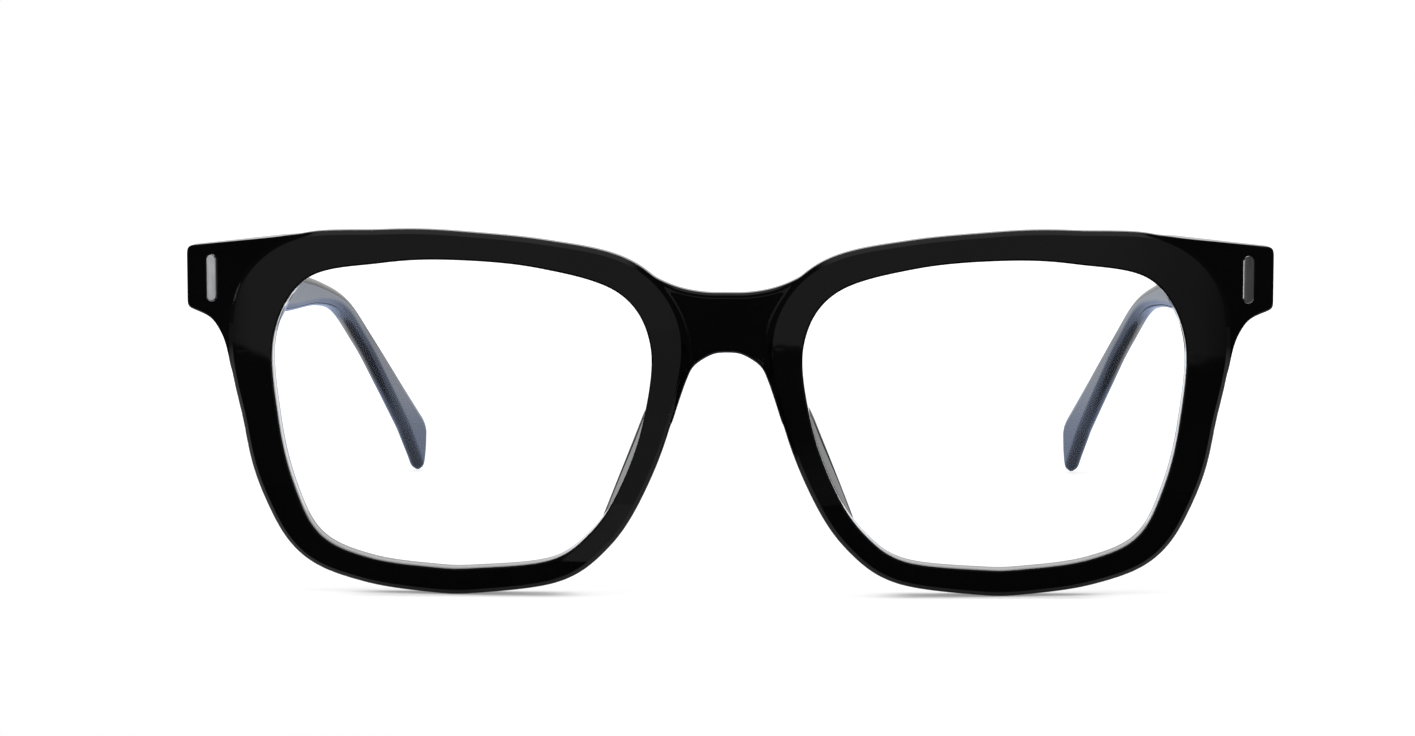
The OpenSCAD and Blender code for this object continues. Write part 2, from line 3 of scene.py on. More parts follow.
import bmesh
import bpy
import numpy as np
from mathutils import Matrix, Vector
from mathutils.geometry import delaunay_2d_cdt
from mathutils.kdtree import KDTree


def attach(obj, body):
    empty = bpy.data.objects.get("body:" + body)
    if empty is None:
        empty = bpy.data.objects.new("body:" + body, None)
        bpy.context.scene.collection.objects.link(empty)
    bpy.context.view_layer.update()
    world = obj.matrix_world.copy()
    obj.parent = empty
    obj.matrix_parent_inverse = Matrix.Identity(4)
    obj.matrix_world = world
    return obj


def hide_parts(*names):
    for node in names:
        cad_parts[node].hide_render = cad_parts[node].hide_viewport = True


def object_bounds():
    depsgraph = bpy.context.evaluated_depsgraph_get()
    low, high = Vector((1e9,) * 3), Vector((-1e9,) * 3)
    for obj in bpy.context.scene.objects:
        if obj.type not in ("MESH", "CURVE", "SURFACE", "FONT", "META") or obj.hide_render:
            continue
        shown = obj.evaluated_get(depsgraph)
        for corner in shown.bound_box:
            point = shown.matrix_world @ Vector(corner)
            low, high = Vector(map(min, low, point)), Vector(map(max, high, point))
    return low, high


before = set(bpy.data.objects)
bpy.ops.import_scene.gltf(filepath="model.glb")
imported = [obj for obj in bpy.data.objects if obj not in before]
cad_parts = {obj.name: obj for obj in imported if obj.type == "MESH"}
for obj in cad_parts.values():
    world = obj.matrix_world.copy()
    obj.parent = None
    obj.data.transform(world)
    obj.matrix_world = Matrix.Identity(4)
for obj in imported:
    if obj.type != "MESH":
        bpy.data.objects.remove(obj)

cad_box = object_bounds()

# The pieces are made in millimetres, with y = 0 at the foremost line as in the part's source,
# whose sizes are repeated here. finished() brings them into the shared frame, in metres.
MM = 0.001
Y_SHIFT = -70.1

# Front: lens openings, raised bands, bridge and endpieces
HALF_W = 72.75
LENS_W, LENS_H, LENS_GAP = 51.0, 41.1, 19.9
LENS_CX, LENS_CZ = LENS_GAP / 2 + LENS_W / 2, 24.05
LENS_TOP = LENS_CZ + LENS_H / 2
WRAP_R, FRONT_T, STEP, EDGE_STEP = 354.0, 4.2, 0.7, 0.6
BAND = dict(outer=4.4, corner=6.35, top=3.2, nose_corner=4.25, nose=2.9, low_nose=2.6, bottom=2.9)
RIM_TOP = LENS_TOP + BAND["top"] + EDGE_STEP
BRIDGE_DROP, BRIDGE_H = 4.2, 7.95
BRIDGE_TOP = LENS_TOP - BRIDGE_DROP
BRIDGE_LOW = BRIDGE_TOP - BRIDGE_H
END_RISE, END_H, END_CORNER = 1.5, 8.5, 0.5
END_TOP = LENS_TOP + END_RISE
END_LOW = END_TOP - END_H
END_SLOPE, SLOPE_X = math.radians(15), HALF_W - 6.2
JOINT_Y = 12.0

# Lenses
LENS_SET, LENS_T, LENS_GROW, LENS_EDGE_R = 1.1, 2.0, 0.55, 0.1

# Nose pads: they show a little further inside the lens openings than the plain solids do
PAD_W, PAD_D, PAD_FLARE, PAD_INSET = 2.5, 5.8, math.radians(14), 0.2
PAD_FROM, PAD_TO = 168.0, 226.0
PAD_Z = LENS_CZ - 0.23 * LENS_H
PAD_FRONT_IN, PAD_R = 0.4, 1.1

# Temples
SHAFT, DROP, LEAN = 86.0, 42.2, math.radians(30)
BEND_DROP, BEND_X, TIP_X = 12.4, 63.2, 54.6
BEND_Y, BEND_Z = JOINT_Y + SHAFT, LENS_TOP - BEND_DROP
TIP_Y = BEND_Y + DROP
TEMPLE_RISE, TEMPLE_H, TEMPLE_T, TIP_T = 1.3, 8.3, 4.0, 2.3
TEMPLE_TOP = LENS_TOP + TEMPLE_RISE
TEMPLE_LOW = TEMPLE_TOP - TEMPLE_H
TEMPLE_IN, OPEN_GAP = 0.3, 0.06
TEMPLE_CX = HALF_W - TEMPLE_IN - TEMPLE_T / 2
HINGE_Z = LENS_TOP - 2.9

# Plaques and their rivet posts
PLAQUE_W, PLAQUE_H, PLAQUE_T, PROUD = 1.65, 6.4, 0.55, 0.3
PLAQUE_X, PLAQUE_Z = HALF_W - 3.55, END_TOP - 0.506 * END_H
PLAQUE_CROWN, PLAQUE_RIM_R, PLAQUE_TILT = 0.05, 0.22, math.radians(4)
TEMPLE_PLAQUE_BACK = 7.2
POST_D, POST_STEP, POST_SIDES = 1.2, 3.8, 32
POST_FROM, POST_CHAMFER, POST_END_SHARE = 0.1, 0.06, 0.9
POST_SHORT, TEMPLE_POST_MORE = 0.02, 0.38


def wrap_y(x, depth):
    """Depth of the wrapped surface at a distance x from the middle."""
    return WRAP_R - np.sqrt((WRAP_R - depth) ** 2 - np.asarray(x) ** 2)


SLOPE_Y = float(wrap_y(SLOPE_X, STEP))
PLAQUE_Y = SLOPE_Y + (PLAQUE_X - SLOPE_X) * math.tan(END_SLOPE)


# Curves

LEAST_POINTS, MERGE_2D = 8, 1e-5
OPEN_STEPS, PLAN_STEPS, LENS_STEPS = 12, 20, 24


def catmull(a, b, c, d, t):
    """A point at the share t between b and c on a smooth curve through a, b, c and d."""
    return 0.5 * (2 * b + (c - a) * t + (2 * a - 5 * b + 4 * c - d) * t * t
                  + (3 * b - a - 3 * c + d) * t ** 3)


def closed_curve(points, steps):
    """The smooth closed curve through the points."""
    p = np.array(points, float)
    n = len(p)
    return np.array([catmull(p[i - 1], p[i], p[(i + 1) % n], p[(i + 2) % n], s / steps)
                     for i in range(n) for s in range(steps)])


def open_curve(points, steps=OPEN_STEPS):
    """The smooth open curve through the points."""
    p = np.array(points, float)
    p = np.vstack([2 * p[0] - p[1], p, 2 * p[-1] - p[-2]])
    out = [catmull(p[i], p[i + 1], p[i + 2], p[i + 3], s / steps)
           for i in range(len(p) - 3) for s in range(steps)]
    return np.array(out + [p[-2]])


def resampled(loop, spacing):
    """The closed loop with evenly spaced points."""
    p = np.vstack([loop, loop[:1]])
    run = np.concatenate([[0], np.cumsum(np.linalg.norm(np.diff(p, axis=0), axis=1))])
    n = max(LEAST_POINTS, int(round(run[-1] / spacing)))
    at = np.linspace(0, run[-1], n, endpoint=False)
    return np.stack([np.interp(at, run, p[:, k]) for k in range(2)], axis=1)


def softened(loop, spacing, sigma):
    """The closed loop, evenly spaced and smoothed over a length sigma."""
    p = resampled(loop, spacing)
    freq = np.fft.fftfreq(len(p), d=spacing)
    gain = np.exp(-2 * (math.pi * freq * sigma) ** 2)
    z = np.fft.ifft(np.fft.fft(p[:, 0] + 1j * p[:, 1]) * gain)
    return np.stack([z.real, z.imag], axis=1)


def normals_of(loop):
    """Outward direction at each point of an anticlockwise closed loop."""
    t = np.roll(loop, -1, axis=0) - np.roll(loop, 1, axis=0)
    t /= np.linalg.norm(t, axis=1)[:, None]
    return np.stack([t[:, 1], -t[:, 0]], axis=1)


def area_of(loop):
    x, y = loop[:, 0], loop[:, 1]
    return 0.5 * np.sum(x * np.roll(y, -1) - np.roll(x, -1) * y)


def anticlockwise(loop):
    return loop if area_of(loop) > 0 else loop[::-1]


def inside(points, loop):
    """Which points lie inside the closed loop."""
    out = np.zeros(len(points), bool)
    x, y = points[:, 0], points[:, 1]
    for (x1, y1), (x2, y2) in zip(loop, np.roll(loop, -1, axis=0)):
        if y1 != y2:
            hit = ((y1 > y) != (y2 > y)) & (x < (x2 - x1) * (y - y1) / (y2 - y1) + x1)
            out ^= hit
    return out


def within(points, loops):
    """Which points lie inside the first loop and outside the others, its holes."""
    out = inside(points, loops[0])
    for hole in loops[1:]:
        out &= ~inside(points, hole)
    return out


def distance(points, loops):
    """Distance of each point to the nearest of the closed loops."""
    start = np.vstack(loops)
    after = np.vstack([np.roll(loop, -1, axis=0) for loop in loops])
    before = np.vstack([np.roll(loop, 1, axis=0) for loop in loops])
    tree = KDTree(len(start))
    for i, p in enumerate(start):
        tree.insert((p[0], p[1], 0), i)
    tree.balance()
    near = np.array([tree.find((p[0], p[1], 0))[1] for p in points])
    best = np.full(len(points), np.inf)
    for other in (after, before):
        a, b = start[near], other[near]
        ab = b - a
        t = np.clip(np.sum((points - a) * ab, axis=1) / np.sum(ab * ab, axis=1), 0, 1)
        best = np.minimum(best, np.linalg.norm(points - a - ab * t[:, None], axis=1))
    return best


def triangulated(points, edges):
    """Delaunay triangles of the points that keep the edges: new points and triangles."""
    verts, _, faces, _, _, _ = delaunay_2d_cdt(
        [Vector((float(p[0]), float(p[1]))) for p in points], [tuple(e) for e in edges], [],
        0, MERGE_2D, True)
    return np.array([(v.x, v.y) for v in verts]), np.array([f for f in faces if len(f) == 3])


def points_and_edges(loops):
    """The loops' points in one list, with the edges that close each loop."""
    points, edges = [], []
    for loop in loops:
        first, count = len(points), len(loop)
        edges += [(first + i, first + (i + 1) % count) for i in range(count)]
        points += list(loop)
    return np.array(points), edges


def boundary_chains(tris):
    """The open edges of the triangles as closed chains of point numbers."""
    sides = {}
    for t in tris:
        for a, b in ((t[0], t[1]), (t[1], t[2]), (t[2], t[0])):
            sides[(a, b)] = True
    following = {a: b for a, b in sides if (b, a) not in sides}
    chains = []
    while following:
        first = next(iter(following))
        chain, here = [], first
        while here in following:
            chain.append(here)
            here = following.pop(here)
        chains.append(chain)
    return chains


def union_outline(loops):
    """Outer outline of the union of closed loops."""
    verts, tris = triangulated(*points_and_edges(loops))
    middle = verts[tris].mean(axis=1)
    keep = np.zeros(len(tris), bool)
    for loop in loops:
        keep |= inside(middle, loop)
    return anticlockwise(verts[max(boundary_chains(tris[keep]), key=len)])


def pull(d, r):
    """How far a rounded edge of radius r falls back at a distance d from the outline."""
    d = np.minimum(d, r)
    return r - np.sqrt(np.maximum(r * r - (r - d) ** 2, 0))


def smooth_step(x, a, b):
    t = np.clip((np.asarray(x, float) - a) / (b - a), 0, 1)
    return t * t * (3 - 2 * t)


def at_depth(p, y):
    """The flat points (x, z) placed at the depth y."""
    return np.column_stack([p[:, 0], y, p[:, 1]])


def soft_min(a, b, k):
    """The smaller of the two, with a blend of width k."""
    h = np.clip(0.5 + 0.5 * (b - a) / k, 0, 1)
    return b * (1 - h) + a * h - k * h * (1 - h)


# Mesh building

# where rows of points lie across a rounded edge, as shares of its radius
RING_SHARES = [0.034, 0.134, 0.293, 0.5, 0.741, 1.0, 1.25]
# a point of a row is dropped where the row comes nearer than this share of its distance
KEPT_SHARE, RING_SLACK = 0.97, 0.004
# least distances of free points from feature lines and outlines, and beyond the edge rows
CLEAR_OF_FEATURE, CLEAR_OF_OUTLINE = 0.07, 0.06
FEATURE_MARGIN, OUTLINE_MARGIN, GRID_MARGIN = 0.1, 0.3, 0.25
# rows further from a feature line than this have every second point
FINE_OFFSET = 0.5
ROW_HEIGHT = 0.866
LEAST_AREA = 1e-7
SHARP_ANGLE, FACE_WEIGHT = math.radians(32), 80


def grid_inside(outline, spacing):
    """A triangular grid of points over the outline's box."""
    lo, hi = outline.min(axis=0), outline.max(axis=0)
    rows = np.arange(lo[1], hi[1], spacing * ROW_HEIGHT)
    out = []
    for k, y in enumerate(rows):
        xs = np.arange(lo[0] + (k % 2) * spacing / 2, hi[0], spacing)
        out.append(np.stack([xs, np.full(len(xs), y)], axis=1))
    return np.vstack(out)


def edge_rows(loops, radii):
    """Rows of points across the rounded edges."""
    rows = []
    for loop in loops:
        inward = -normals_of(loop)
        for radius in radii:
            r = radius(loop)
            for share in RING_SHARES:
                ring = loop + inward * (r * share)[:, None]
                rows.append(np.column_stack([ring, r * share]))
    rows = np.vstack(rows)
    points, wanted = rows[:, :2], rows[:, 2]
    ok = distance(points, loops) > wanted * KEPT_SHARE - RING_SLACK
    return points[ok & within(points, loops)]


def grid_points(loops, radii, spacing):
    """Evenly spaced points inside the outline, clear of its edge rows."""
    grid = grid_inside(loops[0], spacing)
    grid = grid[within(grid, loops)]
    reach = max(float(np.max(r(loops[0]))) for r in radii) * RING_SHARES[-1]
    return grid[distance(grid, loops) > reach + GRID_MARGIN * spacing]


def with_feature_rows(free, features, offsets, loops):
    """The free points, with rows beside the feature lines in place of those near them."""
    free = free[distance(free, features) > CLEAR_OF_FEATURE]
    rows = []
    for line in map(anticlockwise, features):
        out = normals_of(line)
        for k, offset in enumerate(offsets):
            step = 2 if abs(offset) > FINE_OFFSET else 1
            ring = (line + out * offset)[k % 2::step]
            rows.append(np.column_stack([ring, np.full(len(ring), abs(offset))]))
    rows = np.vstack(rows)
    points, wanted = rows[:, :2], rows[:, 2]
    ok = distance(points, features) > wanted * KEPT_SHARE
    ok &= (distance(points, loops) > CLEAR_OF_OUTLINE) & within(points, loops)
    near = distance(free, features) < max(abs(o) for o in offsets) + FEATURE_MARGIN
    near &= distance(free, loops) > OUTLINE_MARGIN
    return np.vstack([free[~near], points[ok]])


def flat_triangles(loops, lines, free):
    """Triangles between the loops that keep the lines: their points and numbers."""
    points, edges = points_and_edges(loops + lines)
    verts, tris = triangulated(np.vstack([points, free]), edges)
    tris = tris[within(verts[tris].mean(axis=1), loops)]
    a, b, c = (verts[tris[:, k]] for k in range(3))
    area = (b[:, 0] - a[:, 0]) * (c[:, 1] - a[:, 1]) - (c[:, 0] - a[:, 0]) * (b[:, 1] - a[:, 1])
    used, tris = np.unique(tris[area > LEAST_AREA], return_inverse=True)
    return verts[used], tris.reshape(-1, 3)


def plate_mesh(outline, holes, radii, face_a, face_b, spacing, features=(), offsets=(),
               wall_rows=1):
    """A closed plate over a flat outline with holes. radii are functions of the points that
    give the edge radii on the two sides; face_a and face_b turn points and their distance
    to the outline into places in space. features are closed lines that stay sharp, with rows
    of points beside them at the offsets. Returns places and faces."""
    loops = [anticlockwise(outline)] + [anticlockwise(h)[::-1] for h in holes]
    free = np.vstack([edge_rows(loops, radii), grid_points(loops, radii, spacing)])
    if features:
        free = with_feature_rows(free, features, offsets, loops)
    verts, tris = flat_triangles(loops, list(features), free)
    d = distance(verts, loops)
    chains = boundary_chains(tris)
    for chain in chains:
        d[chain] = 0
    front_places, back_places = face_a(verts, d), face_b(verts, d)
    n = len(verts)
    places = [front_places, back_places]
    faces = [tuple(t) for t in tris] + [(t[0] + n, t[2] + n, t[1] + n) for t in tris]
    total = 2 * n
    for chain in chains:
        rows = [np.array(chain)]
        for k in range(1, wall_rows):
            share = k / wall_rows
            places.append(front_places[chain] * (1 - share) + back_places[chain] * share)
            rows.append(np.arange(total, total + len(chain)))
            total += len(chain)
        rows.append(np.array(chain) + n)
        for upper, lower in zip(rows, rows[1:]):
            for i in range(len(chain)):
                j = (i + 1) % len(chain)
                faces.append((upper[i], lower[i], lower[j], upper[j]))
    return np.vstack(places), faces


def even_radius(r):
    """An edge radius that is the same all round."""
    return lambda p: np.full(len(p), r)


def new_object(name, data):
    """A new object in the scene."""
    obj = bpy.data.objects.new(name, data)
    bpy.context.scene.collection.objects.link(obj)
    return obj


def smooth_shaded(data, slots, sharp):
    """Gives each face its material, and smooth shading apart from edges sharper than an angle."""
    data.polygons.foreach_set("material_index", np.asarray(slots, np.int32))
    data.polygons.foreach_set("use_smooth", np.ones(len(data.polygons), bool))
    data.set_sharp_from_angle(angle=sharp)


def finished(name, verts, faces, material_list, face_slots=None, sharp=SHARP_ANGLE):
    """A smooth-shaded mesh object; verts in millimetres of the part's source."""
    data = bpy.data.meshes.new(name)
    verts = (np.asarray(verts, float) + [0, Y_SHIFT, 0]) * MM
    data.from_pydata(verts.tolist(), [], [list(map(int, f)) for f in faces])
    for m in material_list:
        data.materials.append(m)
    smooth_shaded(data, face_slots or [0] * len(faces), sharp)
    data.validate()
    data.update()
    obj = new_object(name, data)
    mod = obj.modifiers.new("even_shading", "WEIGHTED_NORMAL")
    mod.keep_sharp = True
    mod.weight = FACE_WEIGHT
    return obj


def placed_piece(obj, body, node):
    """Says which body the piece rides on, which CAD node it replaces."""
    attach(obj, body)
    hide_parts(node)
    return obj


def mirrored(verts, faces):
    return np.asarray(verts) * [-1, 1, 1], [tuple(reversed(f)) for f in faces]


def both_sides(name, verts, faces, bodies, node, slot, material_list, **more):
    """The piece on the right and its mirror image on the left."""
    out = []
    for side in ("right", "left"):
        v, f = (verts, faces) if side == "right" else mirrored(verts, faces)
        obj = finished(name + "_" + side, v, f, material_list, **more)
        out.append(placed_piece(obj, bodies[side], node + "_" + side))
    return out


FRONT_BODIES = {"right": "front", "left": "front"}
TEMPLE_BODIES = {"right": "right_temple", "left": "left_temple"}


# Materials

def socket(node, name, value, tree):
    """Sets an input, or links it where the value is another node's output."""
    target = node.inputs[name]
    if isinstance(value, bpy.types.NodeSocket):
        tree.links.new(value, target)
    else:
        target.default_value = value


def add(tree, kind, inputs=None, out=0, **settings):
    """A new node with its settings and inputs; returns one of its outputs."""
    node = tree.nodes.new("ShaderNode" + kind)
    for key, value in settings.items():
        setattr(node, key, value)
    for key, value in (inputs or {}).items():
        socket(node, key, value, tree)
    return node.outputs[out]


def calc(tree, operation, a, b=0.0, c=0.0):
    return add(tree, "Math", {0: a, 1: b, 2: c}, operation=operation)


def product(tree, *values):
    out = values[0]
    for value in values[1:]:
        out = calc(tree, "MULTIPLY", out, value)
    return out


def ramp(tree, value, low, high, to_low=0.0, to_high=1.0, kind="SMOOTHSTEP"):
    """A level that goes from to_low to to_high while the value goes from low to high."""
    return add(tree, "MapRange", {"Value": value, "From Min": low, "From Max": high,
                                  "To Min": to_low, "To Max": to_high},
               interpolation_type=kind, clamp=True)


def span(tree, value, up, down, top=1.0):
    """A level that ramps up over one stretch of the value and down again over another."""
    return product(tree, ramp(tree, value, *up), ramp(tree, value, *down, top, 0.0))


def mixed(tree, share, a, b):
    return add(tree, "Mix", {0: share, 2: a, 3: b}, data_type="FLOAT")


def mixed_colour(tree, share, a, b):
    """Mixes two colours, each given as three numbers or as a node's output."""
    a, b = (c if isinstance(c, bpy.types.NodeSocket) else (*c, 1) for c in (a, b))
    return add(tree, "Mix", {0: share, 6: a, 7: b}, out=2, data_type="RGBA")


def empty_tree(owner):
    """The cleared node tree of a material or world."""
    owner.use_nodes = True
    owner.node_tree.nodes.clear()
    return owner.node_tree


def put_out(tree, shader, kind="Material"):
    """Links the shader to a new output node."""
    output = tree.nodes.new("ShaderNodeOutput" + kind)
    tree.links.new(shader, output.inputs["Surface"])


def new_material(name):
    mat = bpy.data.materials.new(name)
    tree = empty_tree(mat)
    shader = tree.nodes.new("ShaderNodeBsdfPrincipled")
    put_out(tree, shader.outputs[0])
    return mat, tree, shader


def placed_noise(tree, scale, detail, stretch=None):
    """Noise in the object's own coordinates, stretched along an axis if asked."""
    place = add(tree, "TexCoord", out=3)
    if stretch:
        place = add(tree, "Mapping", {"Vector": place, "Scale": stretch})
    return add(tree, "TexNoise", {"Vector": place, "Scale": scale, "Detail": detail,
                                  "Roughness": 0.5})


def acetate_material(name, dark, light, rough):
    """Polished acetate: deep colour, faint cloudiness, polishing marks and fine scratches."""
    mat, tree, shader = new_material(name)
    cloud = ramp(tree, placed_noise(tree, scale=45.0, detail=4.0), 0.35, 0.7)
    socket(shader, "Base Color", mixed_colour(tree, cloud, dark, light), tree)
    haze = placed_noise(tree, scale=130.0, detail=2.0)
    streak = placed_noise(tree, scale=220.0, detail=2.0, stretch=(1.0, 1.0, 0.12))
    marks = product(tree, ramp(tree, haze, 0.4, 0.75), ramp(tree, streak, 0.35, 0.75))
    socket(shader, "Roughness", ramp(tree, marks, 0.0, 0.8, *rough), tree)
    swell = placed_noise(tree, scale=28.0, detail=1.0)
    bump = add(tree, "Bump", {"Height": swell, "Strength": 0.05, "Distance": 0.0002})
    socket(shader, "Normal", bump, tree)
    shader.inputs["IOR"].default_value = 1.49
    return mat


def metal_material(name, colour, spread, rough, stretch, scale):
    """Metal with a fine grain that runs along one direction."""
    mat, tree, shader = new_material(name)
    grain = placed_noise(tree, scale, detail=3.0, stretch=stretch)
    blotch = placed_noise(tree, scale=320.0, detail=2.0)
    dark = tuple(c * (1 - spread) for c in colour)
    share = ramp(tree, grain, 0.3, 0.7)
    socket(shader, "Base Color", mixed_colour(tree, share, dark, colour), tree)
    grain_rough = ramp(tree, grain, 0.3, 0.7, *rough)
    blotch_share = ramp(tree, blotch, 0.3, 0.7)
    socket(shader, "Roughness", calc(tree, "MULTIPLY_ADD", blotch_share, 0.06, grain_rough), tree)
    bump = add(tree, "Bump", {"Height": grain, "Strength": 0.15, "Distance": 0.00002})
    socket(shader, "Normal", bump, tree)
    shader.inputs["Metallic"].default_value = 1.0
    return mat


def lens_material(name):
    """Clear lens with a barely bluish tone from its coating."""
    mat, tree, shader = new_material(name)
    film = placed_noise(tree, scale=14.0, detail=2.0)
    tone = mixed_colour(tree, film, (1.0, 1.0, 1.0), (0.985, 0.99, 1.0))
    socket(shader, "Base Color", tone, tree)
    shader.inputs["Roughness"].default_value = 0.0
    shader.inputs["IOR"].default_value = 1.2
    shader.inputs["Transmission Weight"].default_value = 1.0
    return mat


black = acetate_material("acetate_black", (0.0008, 0.0008, 0.0010), (0.0016, 0.0016, 0.0019),
                         rough=(0.015, 0.05))
pad_black = acetate_material("pad_acetate", (0.0012, 0.0012, 0.0015), (0.0024, 0.0024, 0.0028),
                             rough=(0.04, 0.07))
clear = lens_material("lens_clear")
silver = metal_material("silver_satin", (0.80, 0.81, 0.83), 0.12, rough=(0.36, 0.44),
                        stretch=(1.0, 1.0, 0.06), scale=4000.0)
silver_rim = metal_material("silver_polished", (0.90, 0.91, 0.92), 0.05, rough=(0.08, 0.14),
                            stretch=(1.0, 1.0, 1.0), scale=900.0)
steel = metal_material("hinge_steel", (0.58, 0.59, 0.61), 0.15, rough=(0.26, 0.40),
                       stretch=(1.0, 1.0, 0.1), scale=2500.0)
screw_steel = metal_material("screw_steel", (0.70, 0.70, 0.71), 0.10, rough=(0.15, 0.25),
                             stretch=(1.0, 1.0, 1.0), scale=1500.0)
wire_steel = metal_material("wire_steel", (0.60, 0.61, 0.63), 0.10, rough=(0.22, 0.32),
                            stretch=(0.1, 1.0, 1.0), scale=2000.0)


# Front

# the lens opening's outline, in halves of its width and height from its middle
LENS_SHAPE = [
    (0.988, 0.488), (0.808, 0.869), (0.418, 0.974), (0.050, 1.000), (-0.414, 0.951),
    (-0.831, 0.793), (-0.994, 0.450), (-0.949, -0.065), (-0.820, -0.497), (-0.671, -0.768),
    (-0.464, -0.940), (-0.065, -0.997), (0.144, -0.996), (0.483, -0.944), (0.746, -0.802),
    (0.882, -0.490), (0.965, -0.061)]
# the raised band's width in directions from the outer side, in degrees, anticlockwise
UPPER_OUTER = 0.515 * (BAND["outer"] + BAND["corner"])
BAND_ROWS = np.array([
    (-20, 0.95 * BAND["outer"]), (0, BAND["outer"]), (24, UPPER_OUTER), (38, BAND["corner"]),
    (58, 0.35 * BAND["corner"] + 0.65 * BAND["top"]), (90, BAND["top"]), (114, BAND["top"]),
    (150, BAND["nose_corner"]), (166, (BAND["nose_corner"] + BAND["nose"]) / 2),
    (188, BAND["nose"]), (215, BAND["low_nose"]), (245, BAND["low_nose"]),
    (270, BAND["bottom"]), (302, BAND["bottom"]), (322, (BAND["bottom"] + BAND["outer"]) / 2),
    (340, 0.95 * BAND["outer"]), (360, BAND["outer"]), (384, UPPER_OUTER)])
# spacing of the points along an outline, and the length over which its corners are softened
LOOP_SPACING, LOOP_SOFT = 0.35, 0.5
OUTLINE_SPACING, OUTLINE_SOFT = 0.3, 0.4
FRONT_GRID, LENS_GRID, PAD_GRID, TEMPLE_GRID, PLAQUE_GRID = 1.1, 1.6, 0.7, 1.4, 0.25

# where one form of the front blends into the next: stretches of the distance from the middle
# and of the height
BRIDGE_SIDES, BRIDGE_FOOT = (7.5, 10.5), (BRIDGE_LOW - 6, BRIDGE_LOW)
BRIDGE_TILT = 0.05
END_SIDES, END_HEIGHTS = (53.5, 56.5), (31, 35)
BLOCK_SIDES, BLOCK_HEIGHTS, BLOCK_SHORT = (57.4, 60.6), (35.6, 37.4), 0.07
# the endpiece's face starts shallow beside the band and slopes back towards the side
NEAR_X, NEAR_DEPTH, SLOPE_SOFT = 57.0, 0.35, 0.1
NEAR_Y = float(wrap_y(NEAR_X, NEAR_DEPTH))
BEVEL_SOFT, BEVEL_START, LEAST_BLEND = 0.2, (0, 0.3), 1e-6
# edge radii: around the openings, then along the outline with more or less over some stretches
HOLE_FRONT_R, HOLE_BACK_R = 0.2, 0.4
FRONT_R, BRIDGE_MORE_R, END_MORE_R = 0.15, 0.6, 0.35
BRIDGE_R_SIDES, BRIDGE_R_HEIGHTS = (6.5, 10), (24, 29)
END_R_SIDES, END_R_HEIGHTS = (68, 71), (34, 37)
BACK_R, END_LESS_R = 0.95, 0.6
BACK_R_SIDES, BACK_R_HEIGHTS = (56, 62), (32, 36)
BAND_OFFSETS = (0.15, 0.3, 0.45, 0.6, 0.75, 0.9, 1.05, 1.3, -0.2, -0.5)


def band_width(a):
    """Width of the raised band in the directions a, in degrees from the outer side."""
    x, w = BAND_ROWS[:, 0], BAND_ROWS[:, 1]
    k = np.clip(np.searchsorted(x, a, side="right") - 1, 1, len(x) - 3)
    slope = (w[2:] - w[:-2]) / (x[2:] - x[:-2])
    h = x[k + 1] - x[k]
    t = (a - x[k]) / h
    return ((2 * t ** 3 - 3 * t ** 2 + 1) * w[k] + (t ** 3 - 2 * t ** 2 + t) * h * slope[k - 1]
            + (3 * t ** 2 - 2 * t ** 3) * w[k + 1] + (t ** 3 - t ** 2) * h * slope[k])


def corner_arc(z, degrees):
    """Points on the endpiece's rounded outer corner at the height z."""
    return [(HALF_W - END_CORNER + END_CORNER * math.cos(math.radians(a)),
             z + END_CORNER * math.sin(math.radians(a))) for a in degrees]


def end_outline():
    """The right endpiece: along the top, round its outer side and back under it."""
    top = open_curve([(LENS_CX + 0.117 * LENS_W, RIM_TOP - 0.03 * END_H),
                      (HALF_W - 2.175 * END_H, RIM_TOP - 0.04 * END_H),
                      (HALF_W - 1.295 * END_H, RIM_TOP - 0.135 * END_H),
                      (HALF_W - END_CORNER, END_TOP)])
    low = open_curve([(HALF_W - END_CORNER - 0.037 * END_H, END_LOW - 0.012 * END_H)]
                     + [(HALF_W - p * END_H, END_LOW - q * END_H) for p, q in
                        ((0.385, 0.14), (0.54, 0.34), (0.633, 0.565), (0.715, 0.94))])
    hidden = [(HALF_W - 1.058 * END_H, END_LOW - 0.94 * END_H),
              (LENS_CX + 0.531 * LENS_W, LENS_CZ + 0.145 * LENS_H)]
    return np.vstack([top, corner_arc(END_TOP - END_CORNER, range(75, -1, -15)),
                      corner_arc(END_LOW + END_CORNER, range(0, -61, -15)), low, hidden])


def bridge_outline():
    top = open_curve([(p * LENS_GAP, BRIDGE_TOP + q * BRIDGE_H) for p, q in
                      ((0, 0), (0.147, 0.007), (0.31, 0.08), (0.467, 0.24), (0.632, 0.493))])
    low = open_curve([(p * LENS_GAP, BRIDGE_LOW - q * BRIDGE_H) for p, q in
                      ((0.368, 1.195), (0.32, 0.82), (0.264, 0.43), (0.216, 0.215),
                       (0.096, 0.03), (0, 0))])
    half = np.vstack([top, [(0.439 * LENS_GAP, BRIDGE_LOW)], low])
    return np.vstack([half, (half * [-1, 1])[::-1][1:-1]])


def outside_band(p):
    """Signed distance from the raised bands, positive outside them."""
    d = distance(p, band_loops)
    for loop in band_loops:
        d[inside(p, loop)] *= -1
    return d


def beside_opening(p):
    return distance(p, lens_loops) < distance(p, [outline])


def outer_share(p, sides, heights):
    """1 towards the upper outer corners and 0 elsewhere, with a blend over the two stretches."""
    return smooth_step(np.abs(p[:, 0]), *sides) * smooth_step(p[:, 1], *heights)


